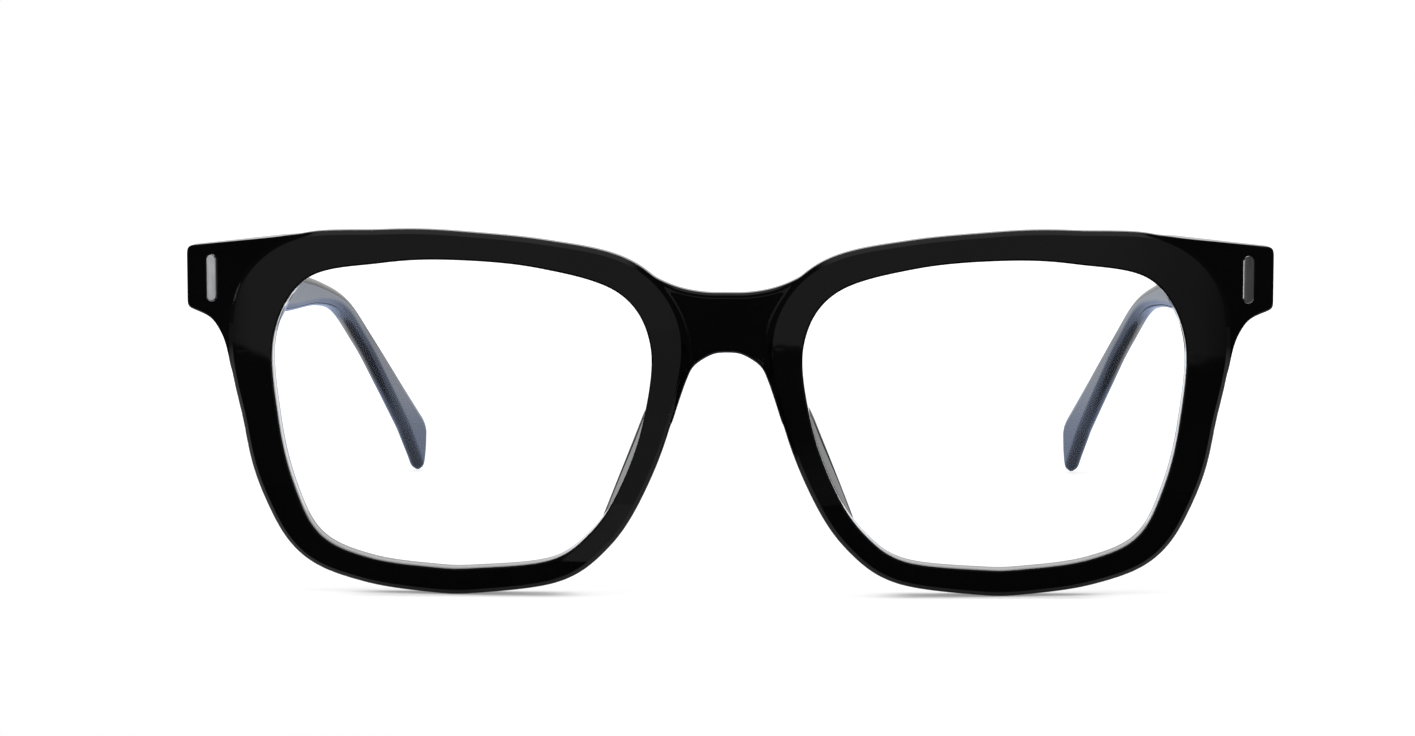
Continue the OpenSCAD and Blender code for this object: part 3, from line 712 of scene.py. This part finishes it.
def front_face(p, d):
    """The front's face: wrapped bands, their bevels, and the set-back bridge and endpieces."""
    x, z = np.abs(p[:, 0]), p[:, 1]
    off = outside_band(p)
    bevel = wrap_y(x, 0) + np.maximum(off, 0)
    middle = (BRIDGE_TOP + BRIDGE_LOW) / 2
    tilt = (1 - smooth_step(x, *BRIDGE_SIDES)) * smooth_step(z, *BRIDGE_FOOT)
    recess = wrap_y(x, STEP) - BRIDGE_TILT * (z - middle) * tilt
    near_slope = NEAR_Y + (x - NEAR_X) * (SLOPE_Y - NEAR_Y) / (SLOPE_X - NEAR_X)
    far_slope = SLOPE_Y + (x - SLOPE_X) * math.tan(END_SLOPE)
    sloped = -soft_min(-near_slope, -far_slope, SLOPE_SOFT)
    recess = recess + (sloped - recess) * outer_share(p, END_SIDES, END_HEIGHTS)
    y = soft_min(bevel, recess, BEVEL_SOFT * smooth_step(off, *BEVEL_START) + LEAST_BLEND)
    return at_depth(p, y + pull(d, front_radius(p)))


def front_radius(p):
    x, z = np.abs(p[:, 0]), p[:, 1]
    bridge = (1 - smooth_step(x, *BRIDGE_R_SIDES)) * smooth_step(z, *BRIDGE_R_HEIGHTS)
    end = outer_share(p, END_R_SIDES, END_R_HEIGHTS)
    return np.where(beside_opening(p), HOLE_FRONT_R,
                    FRONT_R + BRIDGE_MORE_R * bridge + END_MORE_R * end)


def back_radius(p):
    end = outer_share(p, BACK_R_SIDES, BACK_R_HEIGHTS)
    return np.where(beside_opening(p), HOLE_BACK_R, BACK_R - END_LESS_R * end)


def back_face(p, d):
    """The front's back: wrapped, with a flat block behind each endpiece."""
    base = wrap_y(p[:, 0], FRONT_T)
    block = outer_share(p, BLOCK_SIDES, BLOCK_HEIGHTS)
    y = base + np.maximum(JOINT_Y - BLOCK_SHORT - base, 0) * block
    return at_depth(p, y - pull(d, back_radius(p)))


control = np.array([(LENS_CX + u * LENS_W / 2, LENS_CZ + v * LENS_H / 2) for u, v in LENS_SHAPE])
lens_loop = softened(anticlockwise(closed_curve(control, LENS_STEPS)), LOOP_SPACING, LOOP_SOFT)
turn = np.degrees(np.arctan2((lens_loop[:, 1] - LENS_CZ) / LENS_H,
                             (lens_loop[:, 0] - LENS_CX) / LENS_W)) % 360
lens_out = normals_of(lens_loop)
band_loop, rim_loop = (
    softened(lens_loop + lens_out * (band_width(turn) + more)[:, None], LOOP_SPACING, LOOP_SOFT)
    for more in (0, EDGE_STEP))
flip = np.array([-1, 1])
lens_loops = [lens_loop, lens_loop * flip]
band_loops = [band_loop, band_loop * flip]
end_loop = end_outline()
outline = softened(union_outline([rim_loop, rim_loop * flip, end_loop, end_loop * flip,
                                  bridge_outline()]), OUTLINE_SPACING, OUTLINE_SOFT)

verts, faces = plate_mesh(outline, lens_loops, [front_radius, back_radius], front_face, back_face,
                          FRONT_GRID, band_loops, BAND_OFFSETS, wall_rows=3)
placed_piece(finished("front_acetate", verts, faces, [black]), "front", "front_frame")


# Lenses

def lens_front(p, d):
    return at_depth(p, wrap_y(p[:, 0], LENS_SET) + pull(d, LENS_EDGE_R))


def lens_back(p, d):
    return at_depth(p, wrap_y(p[:, 0], LENS_SET + LENS_T) - pull(d, LENS_EDGE_R))


verts, faces = plate_mesh(lens_loop + lens_out * LENS_GROW, [], [even_radius(LENS_EDGE_R)],
                          lens_front, lens_back, LENS_GRID)
both_sides("lens_glass", verts, faces, FRONT_BODIES, "lens", "lens", [clear])


# Nose pads

# the pad seen from the side: shares of its depth, and heights as shares of the opening's
PAD_SIDE = open_curve([(0.1, 0.278), (0.6, 0.235), (0.93, 0.12), (1, 0), (0.88, -0.101),
                       (0.5, -0.174), (0.1, -0.217)])
PAD_BLUNT = 0.4
PAD_SPACING, PAD_SOFT = 0.25, 0.35


def pad_outline():
    """The pad's outline on the rim's back, a slim lens shape along the nose side."""
    on_pad = (turn > PAD_FROM) & (turn < PAD_TO)
    order = np.argsort(turn[on_pad])
    along = ((2 * turn - PAD_FROM - PAD_TO) / (PAD_TO - PAD_FROM))[on_pad][order]
    half = PAD_W / 2 * (1 - along ** 2) ** PAD_BLUNT
    base, out = lens_loop[on_pad][order], lens_out[on_pad][order]
    centre = PAD_INSET + PAD_W / 2
    loop = np.vstack([base + out * (centre - half)[:, None],
                      (base + out * (centre + half)[:, None])[::-1]])
    return softened(anticlockwise(loop), PAD_SPACING, PAD_SOFT)


def pad_place(p, y):
    """Turns the pad's points by its flare about the rim's back beside the nose."""
    dx, dy = p[:, 0] - LENS_GAP / 2, y - FRONT_T
    c, s = math.cos(PAD_FLARE), math.sin(PAD_FLARE)
    return np.column_stack([LENS_GAP / 2 + dx * c + dy * s, FRONT_T - dx * s + dy * c, p[:, 1]])


def pad_front(p, d):
    return pad_place(p, np.full(len(p), FRONT_T - PAD_FRONT_IN))


def pad_back(p, d):
    share = np.interp((p[:, 1] - PAD_Z) / LENS_H, PAD_SIDE[::-1, 1], PAD_SIDE[::-1, 0])
    return pad_place(p, FRONT_T + share * PAD_D - pull(d, PAD_R))


verts, faces = plate_mesh(pad_outline(), [], [even_radius(PAD_R)], pad_front, pad_back, PAD_GRID,
                          wall_rows=3)
both_sides("nose_pad_acetate", verts, faces, FRONT_BODIES, "nose_pad", "nose_pad", [pad_black],
           sharp=math.radians(60))


# Temples

TEMPLE_SPACING, TEMPLE_SOFT = 0.5, 0.5
# its edge radius at the joint, and two stretches behind the joint over which it grows
JOINT_R, HINGE_MORE_R, SHAFT_MORE_R = 0.3, 0.45, 0.6
HINGE_R_RUN, SHAFT_R_RUN = (1.0, 9.0), (11.0, 30.0)


def drop_points(*shares):
    """Points of the drop, in shares of its run and of the bend's height."""
    return [(BEND_Y + u * DROP, v * BEND_Z) for u, v in shares]


def temple_outline():
    """The temple seen from the side: its top edge, its tip and its lower edge."""
    top = open_curve(
        [(JOINT_Y + OPEN_GAP, TEMPLE_TOP),
         (JOINT_Y + 0.27 * SHAFT, TEMPLE_TOP - 0.29 * TEMPLE_H),
         (JOINT_Y + 0.57 * SHAFT, TEMPLE_TOP - 0.79 * TEMPLE_H),
         (JOINT_Y + 0.85 * SHAFT, BEND_Z + 0.43 * TEMPLE_H)]
        + drop_points((0.114, 0.974), (0.443, 0.724), (0.754, 0.46), (0.965, 0.28)))
    tip = drop_points((0.992, 0.24), (1, 0.19), (0.963, 0.095), (0.922, 0.025), (0.892, 0),
                      (0.866, 0.012), (0.841, 0.06))
    low = open_curve(
        drop_points((0.734, 0.225), (0.517, 0.472), (0.262, 0.737), (0, 0.922))
        + [(JOINT_Y + 0.83 * SHAFT, BEND_Z - 0.02 * TEMPLE_H),
           (JOINT_Y + 0.57 * SHAFT, BEND_Z + 0.08 * TEMPLE_H),
           (JOINT_Y + 0.27 * SHAFT, TEMPLE_LOW - 0.29 * TEMPLE_H),
           (JOINT_Y + OPEN_GAP, TEMPLE_LOW)])
    loop = softened(anticlockwise(np.vstack([top, tip, low])), TEMPLE_SPACING, TEMPLE_SOFT)
    # the end at the joint stays flat and square
    loop[:, 0] = np.maximum(loop[:, 0], JOINT_Y + OPEN_GAP)
    return loop


def run_along(y, z):
    """How far along the temple a point lies, measured across the leaning bending lines."""
    return (y - JOINT_Y) * math.cos(LEAN) - (z - HINGE_Z) * math.sin(LEAN)


# the temple's middle line as (y, z, x)
MIDDLE_LINE = [
    (JOINT_Y - 0.095 * SHAFT, HINGE_Z, TEMPLE_CX),
    (JOINT_Y + 0.167 * SHAFT, HINGE_Z - 0.11 * TEMPLE_H, TEMPLE_CX - 0.025 * TEMPLE_T),
    (JOINT_Y + 0.35 * SHAFT, HINGE_Z - 0.3 * TEMPLE_H, TEMPLE_CX - 0.3 * TEMPLE_T),
    (JOINT_Y + 0.66 * SHAFT, 1.094 * BEND_Z, 0.54 * TEMPLE_CX + 0.46 * BEND_X),
    (BEND_Y + 0.1 * DROP, 0.915 * BEND_Z, BEND_X),
    (BEND_Y + 0.43 * DROP, 0.67 * BEND_Z, 0.67 * BEND_X + 0.33 * TIP_X),
    (BEND_Y + 0.71 * DROP, 0.36 * BEND_Z, 0.33 * BEND_X + 0.67 * TIP_X),
    (BEND_Y + 0.97 * DROP, 0.08 * BEND_Z, TIP_X),
    (BEND_Y + 1.17 * DROP, -0.15 * BEND_Z, 1.3 * TIP_X - 0.3 * BEND_X)]
plan = open_curve([(x, run_along(y, z)) for y, z, x in MIDDLE_LINE], PLAN_STEPS)


def temple_radius(p):
    back = p[:, 0] - JOINT_Y
    return (JOINT_R + HINGE_MORE_R * smooth_step(back, *HINGE_R_RUN)
            + SHAFT_MORE_R * smooth_step(back, *SHAFT_R_RUN))


def temple_side(p, d, side):
    run = run_along(p[:, 0], p[:, 1])
    middle = np.interp(run, plan[:, 1], plan[:, 0])
    half = (TEMPLE_T + (TIP_T - TEMPLE_T) * run / (TIP_Y - JOINT_Y)) / 2
    return np.column_stack([middle + side * (half - pull(d, temple_radius(p))), p[:, 0], p[:, 1]])


verts, faces = plate_mesh(temple_outline(), [], [temple_radius],
                          lambda p, d: temple_side(p, d, 1), lambda p, d: temple_side(p, d, -1),
                          TEMPLE_GRID, wall_rows=2)
both_sides("temple_acetate", verts, faces, TEMPLE_BODIES, "temple", "acetate", [black])


# Plaques

PLAQUE_END_FLAT, PLAQUE_SPACING = 0.05, 0.12
# faces nearer to the plaque's outline than this share of its edge radius are polished
POLISHED_SHARE = 0.8


def round_rect(w, h, r, steps=10):
    """A rectangle with rounded corners, as evenly spaced points."""
    out = []
    for k, (sx, sz) in enumerate(((1, 1), (-1, 1), (-1, -1), (1, -1))):
        for s in range(steps + 1):
            a = math.radians(90 * k + 90 * s / steps)
            out.append((sx * (w / 2 - r) + r * math.cos(a), sz * (h / 2 - r) + r * math.sin(a)))
    return resampled(np.array(out), PLAQUE_SPACING)


def plaque_top(p, d):
    crown = PLAQUE_CROWN * (1 - (2 * p[:, 0] / PLAQUE_W) ** 2)
    return at_depth(p, -PROUD + PLAQUE_CROWN - crown + pull(d, PLAQUE_RIM_R))


def plaque_under(p, d):
    return at_depth(p, np.full(len(p), PLAQUE_T - PROUD))


plaque_loop = round_rect(PLAQUE_W, PLAQUE_H, PLAQUE_W / 2 - PLAQUE_END_FLAT)
plaque_verts, plaque_faces = plate_mesh(plaque_loop, [], [even_radius(PLAQUE_RIM_R)], plaque_top,
                                        plaque_under, PLAQUE_GRID)
from_edge = distance(plaque_verts[:, [0, 2]], [plaque_loop])


def with_posts(verts, length):
    """Adds the two rivet posts behind a plaque; edge faces and posts get the second material."""
    rim = PLAQUE_RIM_R * POLISHED_SHARE
    slots = [0 if min(from_edge[list(f)]) > rim else 1 for f in plaque_faces]
    verts, faces = [tuple(v) for v in verts], list(plaque_faces)
    n = POST_SIDES
    for z in (-POST_STEP / 2, POST_STEP / 2):
        rings = [(POST_FROM, 1.0), (length - POST_CHAMFER, 1.0), (length, POST_END_SHARE)]
        first = len(verts)
        for y, share in rings:
            r = share * POST_D / 2
            verts += [(r * math.cos(a), y, z + r * math.sin(a))
                      for a in (2 * math.pi * i / n for i in range(n))]
        for k in range(len(rings) - 1):
            p, q = first + k * n, first + (k + 1) * n
            faces += [(p + i, p + (i + 1) % n, q + (i + 1) % n, q + i) for i in range(n)]
        faces.append(tuple(first + i for i in range(n))[::-1])
        faces.append(tuple(first + 2 * n + i for i in range(n)))
        slots += [1] * (2 * n + 2)
    return np.array(verts), [tuple(f) for f in faces], slots


def turned_to(verts, angle, place):
    """The points turned about the upright axis and moved to the place."""
    c, s = math.cos(angle), math.sin(angle)
    v = np.asarray(verts)
    return np.column_stack([v[:, 0] * c - v[:, 1] * s + place[0],
                            v[:, 0] * s + v[:, 1] * c + place[1], v[:, 2] + place[2]])


# the front plaques' faces turn a little further out than the endpiece
raised = (PLAQUE_T - PROUD - plaque_verts[:, 1]) / PLAQUE_T
tilt = raised * plaque_verts[:, 0] * math.tan(PLAQUE_TILT)
verts, faces, slots = with_posts(plaque_verts + np.outer(tilt, [0, 1, 0]),
                                 (JOINT_Y - PLAQUE_Y) / math.cos(END_SLOPE) - POST_SHORT)
verts = turned_to(verts, END_SLOPE, (PLAQUE_X, PLAQUE_Y, PLAQUE_Z))
front_plaques = both_sides("front_plaque_bar", verts, faces, FRONT_BODIES, "front_plaque",
                           "plaque", [silver, silver_rim], face_slots=slots)

verts, faces, slots = with_posts(plaque_verts, TEMPLE_T + TEMPLE_POST_MORE)
verts = turned_to(verts, math.pi / 2,
                  (TEMPLE_CX + TEMPLE_T / 2, JOINT_Y + TEMPLE_PLAQUE_BACK, HINGE_Z))
both_sides("temple_plaque_bar", verts, faces, TEMPLE_BODIES, "temple_plaque", "plaque",
           [silver, silver_rim], face_slots=slots)


# Hinges and screws: the CAD shapes with their edges broken

MERGE_DISTANCE, FLAT_ANGLE, EDGE_ANGLE = 2e-6, math.radians(1.0), math.radians(30.0)
LEAF_EDGE, SCREW_EDGE = 0.07, 0.06


def broken_edges(node, name, body, material, width):
    """A copy of a CAD node's mesh with bevelled edges of the given width."""
    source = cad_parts[node]
    mesh = bmesh.new()
    mesh.from_mesh(source.data)
    mesh.transform(source.matrix_world)
    bmesh.ops.remove_doubles(mesh, verts=mesh.verts, dist=MERGE_DISTANCE)
    bmesh.ops.dissolve_limit(mesh, angle_limit=FLAT_ANGLE, verts=mesh.verts, edges=mesh.edges)
    data = bpy.data.meshes.new(name)
    mesh.to_mesh(data)
    mesh.free()
    data.materials.clear()
    data.materials.append(material)
    smooth_shaded(data, [0] * len(data.polygons), EDGE_ANGLE)
    obj = new_object(name, data)
    mod = obj.modifiers.new("broken_edge", "BEVEL")
    mod.width = width * MM
    mod.segments = 2
    mod.limit_method = "ANGLE"
    mod.angle_limit = EDGE_ANGLE
    mod.harden_normals = False
    placed_piece(obj, body, node)


for side in ("right", "left"):
    broken_edges("front_hinge_" + side, "front_hinge_leaf_" + side, "front", steel,
                 LEAF_EDGE)
    broken_edges("temple_hinge_" + side, "temple_hinge_leaf_" + side, side + "_temple",
                 steel, LEAF_EDGE)
    broken_edges("hinge_screw_" + side, "hinge_screw_shaft_" + side, "front",
                 screw_steel, SCREW_EDGE)
    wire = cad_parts["core_wire_" + side]
    wire.data.materials.clear()
    wire.data.materials.append(wire_steel)


# Floor, in metres of the shared frame

FLOOR_HALF_W, FLOOR_FRONT, FLOOR_BACK, FLOOR_UNDER = 1.2, -0.162, 1.6, 0.00002
# the strip under the rims, whose lowest points are RIM_X from the middle
STRIP_FRONT, STRIP_BACK = (-0.0705, -0.069), (-0.0655, -0.064)
RIM_X, STRIP_ENDS = 0.035, (0.010, 0.018)
# shares of the floor's own glow near and far from the object, and of the real light it scatters
GLOW_NEAR, GLOW_FAR, GLOW_RUN, STRIP_LESS_GLOW = 0.76, 1.0, (0.13, 0.30), -0.5
REAL_LIGHT, STRIP_MORE_REAL, OTHER_RAYS_COLOUR = 0.42, 0.56, 0.75
# where the floor shown in polished faces changes: before and under the rims, the paler card,
# the strips outside the temples and the part between them with its painted bluish reflection
FEET, OUTWARD = (-0.073, -0.0705), (0.12, 0.40)
CARD_LEFT, CARD_RIGHT, CARD_BACK = (-0.0285, -0.0275), (-0.0125, -0.0115), (-0.102, -0.1)
OUTER_NEAR, OUTER_FAR, OUTER_FRONT = (0.064, 0.072), (0.12, 0.14), (0.02, 0.04)
INNER_FRONT, INNER_SIDE, SPLAY = (-0.052, -0.03), (0.035, 0.045), 0.5
TIPS_FRONT, TIPS_BACK, PAINTED_BLUE_RUN = (0.052, 0.058), (0.07, 0.10), (0.06, 0.40)


def shown_ray(tree):
    """The light path, 1 for rays that show the background directly, and 1 for these and
    glossy rays."""
    path = tree.nodes.new("ShaderNodeLightPath")
    clear_ray = calc(tree, "MAXIMUM", path.outputs["Is Camera Ray"],
                     path.outputs["Is Transmission Ray"])
    return path, clear_ray, calc(tree, "MAXIMUM", clear_ray, path.outputs["Is Glossy Ray"])


def floor_front_level(tree, x, y, across):
    """What polished faces show of the floor ahead: dark before the rims, grey under them, with
    a paler card left of the middle and pale strips outside the temples."""
    under = product(tree, ramp(tree, y, *FEET, 0.03, 0.5), ramp(tree, across, *OUTWARD, 0.7, 0.1))
    card = product(tree, span(tree, x, CARD_LEFT, CARD_RIGHT),
                   ramp(tree, y, *CARD_BACK, 0.23, 0.0))
    beside = product(tree, span(tree, across, OUTER_NEAR, OUTER_FAR),
                     ramp(tree, y, *OUTER_FRONT))
    return calc(tree, "MAXIMUM", calc(tree, "ADD", under, card), beside)


def floor_material():
    """White for the camera. Glossy rays see a studio floor, and behind the front a painted bluish
    reflection that glossy and bounced rays alone see. Close to the object a part of the light is
    real, so that its shadow shows."""
    mat = bpy.data.materials.new("floor_white")
    tree = empty_tree(mat)
    _, clear_ray, shown = shown_ray(tree)
    place = add(tree, "NewGeometry", out=0)
    x, y = (add(tree, "SeparateXYZ", {"Vector": place}, out=k) for k in range(2))
    across = calc(tree, "ABSOLUTE", x)
    # a strip under the rims has more of the real light, for the thin shadow at the contact
    off_rim = calc(tree, "ABSOLUTE", calc(tree, "SUBTRACT", across, RIM_X))
    contact = product(tree, span(tree, y, STRIP_FRONT, STRIP_BACK),
                      ramp(tree, off_rim, *STRIP_ENDS, 1.0, 0.0))
    far = add(tree, "VectorMath", {0: place}, out=1, operation="LENGTH")
    glow_share = calc(tree, "MULTIPLY_ADD", contact, STRIP_LESS_GLOW,
                      ramp(tree, far, *GLOW_RUN, GLOW_NEAR, GLOW_FAR))
    real_share = calc(tree, "MULTIPLY_ADD", contact, STRIP_MORE_REAL, REAL_LIGHT)
    # behind the front, between the temples
    near_level = ramp(tree, y, *TIPS_FRONT, 0.35, 1.0)
    rear_level = mixed(tree, ramp(tree, y, *TIPS_BACK), near_level, 0.8)
    inner = calc(tree, "SUBTRACT", across, calc(tree, "MULTIPLY", y, SPLAY))
    rear_share = product(tree, ramp(tree, y, *INNER_FRONT),
                         ramp(tree, inner, *INNER_SIDE, 1.0, 0.0))
    glossy_level = mixed(tree, rear_share, floor_front_level(tree, x, y, across), rear_level)
    level = mixed(tree, clear_ray, glossy_level, 1.0)
    tone = ramp(tree, placed_noise(tree, scale=30.0, detail=3.0), 0.2, 0.8, 0.985, 1.0)
    plain = mixed(tree, shown, OTHER_RAYS_COLOUR, product(tree, level, tone, real_share))
    glow = product(tree, shown, level, glow_share)
    # painted bluish reflection: between the temples the floor is tinted blue for glossy and bounced
    # rays, never for the camera
    painted_blue_reflection = mixed_colour(tree, ramp(tree, y, *PAINTED_BLUE_RUN), (0.58, 0.70, 1.0), (0.84, 0.89, 1.0))
    painted_blue_share = product(tree, calc(tree, "SUBTRACT", 1.0, clear_ray), rear_share)
    painted_blue_tint = mixed_colour(tree, painted_blue_share, (1.0, 1.0, 1.0), painted_blue_reflection)
    colour = add(tree, "VectorMath", {0: painted_blue_tint, "Scale": plain}, operation="SCALE")
    both = add(tree, "AddShader", {0: add(tree, "BsdfDiffuse", {"Color": colour}),
                                   1: add(tree, "Emission", {"Color": painted_blue_tint, "Strength": glow})})
    put_out(tree, both)
    return mat


floor_z = cad_box[0][2] - FLOOR_UNDER
floor_data = bpy.data.meshes.new("floor")
floor_data.from_pydata([(x, y, floor_z) for x, y in (
    (-FLOOR_HALF_W, FLOOR_FRONT), (FLOOR_HALF_W, FLOOR_FRONT),
    (FLOOR_HALF_W, FLOOR_BACK), (-FLOOR_HALF_W, FLOOR_BACK))], [], [(0, 1, 2, 3)])
floor_data.materials.append(floor_material())
new_object("floor", floor_data)


# World: directions as a rise above the horizon and an angle to the right of straight ahead,
# both in degrees

# steps of the lower edge of the grey panel: from and to, height there, and how it goes over
PANEL_STEPS = [(-30.5, -27.8, -5.09, -5.43, "LINEAR"), (-24.0, -12.0, 0.0, 0.44, "SMOOTHSTEP"),
               (-2.0, 2.0, 0.0, -0.245, "SMOOTHSTEP"), (15.0, 25.0, 0.0, -0.24, "SMOOTHSTEP"),
               (25.0, 28.0, 0.0, 0.14, "LINEAR")]
SOFT_LIGHT, DARK_AIR, PANEL_LIGHT, OVERHEAD_LIGHT = 0.6, 0.03, 0.23, 0.5
# the studio behind the object: levels in the middle, beside it and at the sides, with the
# stretches of the sideways direction over which they change
MIDDLE_LIGHT, BESIDE_LIGHT, BESIDE_RUN = 0.75, 0.2, (0.2, 0.4)
SIDE_MORE_LIGHT, SIDE_RUN = 0.8, (0.38, 0.43)
BEHIND_RUN, UPWARD_LESS = (0.3, 0.65), 0.45


def ahead_air(tree, rise, side):
    """What polished faces show of the studio behind the camera: a grey panel, a patch under it
    left of the middle and a faint one at the right, and bright air overhead."""
    over_edge = rise
    for step in PANEL_STEPS:
        over_edge = calc(tree, "SUBTRACT", over_edge, ramp(tree, side, *step))
    panel = product(tree, ramp(tree, over_edge, -0.04, 0.04), ramp(tree, rise, 9.0, 13.0, 1.0, 0.0),
                    span(tree, side, (-31.5, -29.0), (26.0, 29.5)),
                    ramp(tree, side, 19.0, 28.0, 1.0, 0.62))
    patch = product(tree, span(tree, side, (-10.2, -9.9), (-4.0, -3.5)),
                    span(tree, rise, (-9.0, -8.4), (-5.0, -4.9), top=0.85))
    faint = product(tree, span(tree, side, (1.0, 3.0), (9.0, 12.0), top=0.2),
                    ramp(tree, rise, -7.4, -6.4, 1.0, 0.0))
    lit = calc(tree, "MAXIMUM", calc(tree, "MAXIMUM", panel, patch), faint)
    overhead = ramp(tree, rise, 55.0, 70.0, 0.0, OVERHEAD_LIGHT)
    return calc(tree, "ADD", calc(tree, "MULTIPLY_ADD", lit, PANEL_LIGHT, DARK_AIR), overhead)


def studio_world():
    """White for the camera, soft light for rough surfaces, and the studio for glossy rays."""
    world = bpy.data.worlds.new("studio")
    tree = empty_tree(world)
    path, clear_ray, _ = shown_ray(tree)
    split = tree.nodes.new("ShaderNodeSeparateXYZ")
    tree.links.new(add(tree, "TexCoord", out=0), split.inputs[0])
    dx, dy, dz = split.outputs
    degrees = 180 / math.pi
    rise = calc(tree, "MULTIPLY", calc(tree, "ARCSINE", dz), degrees)
    turned = calc(tree, "ARCTAN2", dx, calc(tree, "MULTIPLY", dy, -1.0))
    side = calc(tree, "MULTIPLY", turned, degrees)
    upward = calc(tree, "MAXIMUM", dz, 0.0)
    reach = calc(tree, "SUBTRACT", dy, calc(tree, "MULTIPLY", upward, UPWARD_LESS))
    off = calc(tree, "ABSOLUTE", dx)
    rear_level = calc(tree, "ADD", ramp(tree, off, *BESIDE_RUN, MIDDLE_LIGHT, BESIDE_LIGHT),
                      ramp(tree, off, *SIDE_RUN, 0.0, SIDE_MORE_LIGHT))
    glossy_level = mixed(tree, ramp(tree, reach, *BEHIND_RUN), ahead_air(tree, rise, side),
                         rear_level)
    other = mixed(tree, path.outputs["Is Glossy Ray"], SOFT_LIGHT, glossy_level)
    background = add(tree, "Background", {"Color": (1.0, 1.0, 1.0, 1.0),
                                          "Strength": mixed(tree, clear_ray, other, 1.0)})
    put_out(tree, background, "World")
    return world


bpy.context.scene.world = studio_world()


# Lamps: place, target, size in metres, power in watts

def soft_lamp(name, place, target, size, watts):
    """A square lamp that isn't mirrored in polished faces."""
    data = bpy.data.lights.new(name, "AREA")
    data.shape = "SQUARE"
    data.size = size
    data.energy = watts
    obj = new_object(name, data)
    obj.location = place
    obj.rotation_euler = (Vector(target) - Vector(place)).to_track_quat("-Z", "Y").to_euler()
    obj.visible_glossy = False
    return obj


soft_lamp("overhead_lamp", (0.0, 0.05, 1.0), (0.0, 0.0, 0.0), 0.9, 3.2)
soft_lamp("left_lamp", (-0.9, -0.5, 0.7), (0.0, 0.0, 0.02), 0.5, 2.0)
# one more from the left lights the front plaques alone, whose satin metal scatters it
plaque_lamp = soft_lamp("plaque_lamp", (-0.51, -0.475, 0.05), (-0.07, -0.066, 0.042), 0.3, 0.3)
plaque_lamp.visible_glossy = True
lit_pieces = bpy.data.collections.new("lit_by_plaque_lamp")
for piece in front_plaques:
    lit_pieces.objects.link(piece)
plaque_lamp.light_linking.receiver_collection = lit_pieces


# Camera: a focal length in pixels of the photograph, whose width is given too

FOCAL_PX, PHOTO_W_PX, SENSOR_MM = 3745.0, 1415.0, 36.0
CAMERA_PLACE, CAMERA_DOWN, CAMERA_TURN = (0.0103, -0.5611, 0.0782), 5.54, 1.50

scene = bpy.context.scene
cam_data = bpy.data.cameras.new("camera")
cam_data.sensor_width = SENSOR_MM
cam_data.lens = FOCAL_PX / PHOTO_W_PX * SENSOR_MM
cam_data.clip_start, cam_data.clip_end = 0.01, 20.0
camera = new_object("camera", cam_data)
camera.location = CAMERA_PLACE
camera.rotation_euler = (math.radians(90 - CAMERA_DOWN), 0.0, math.radians(CAMERA_TURN))
scene.camera = camera
scene.view_settings.view_transform = "Standard"
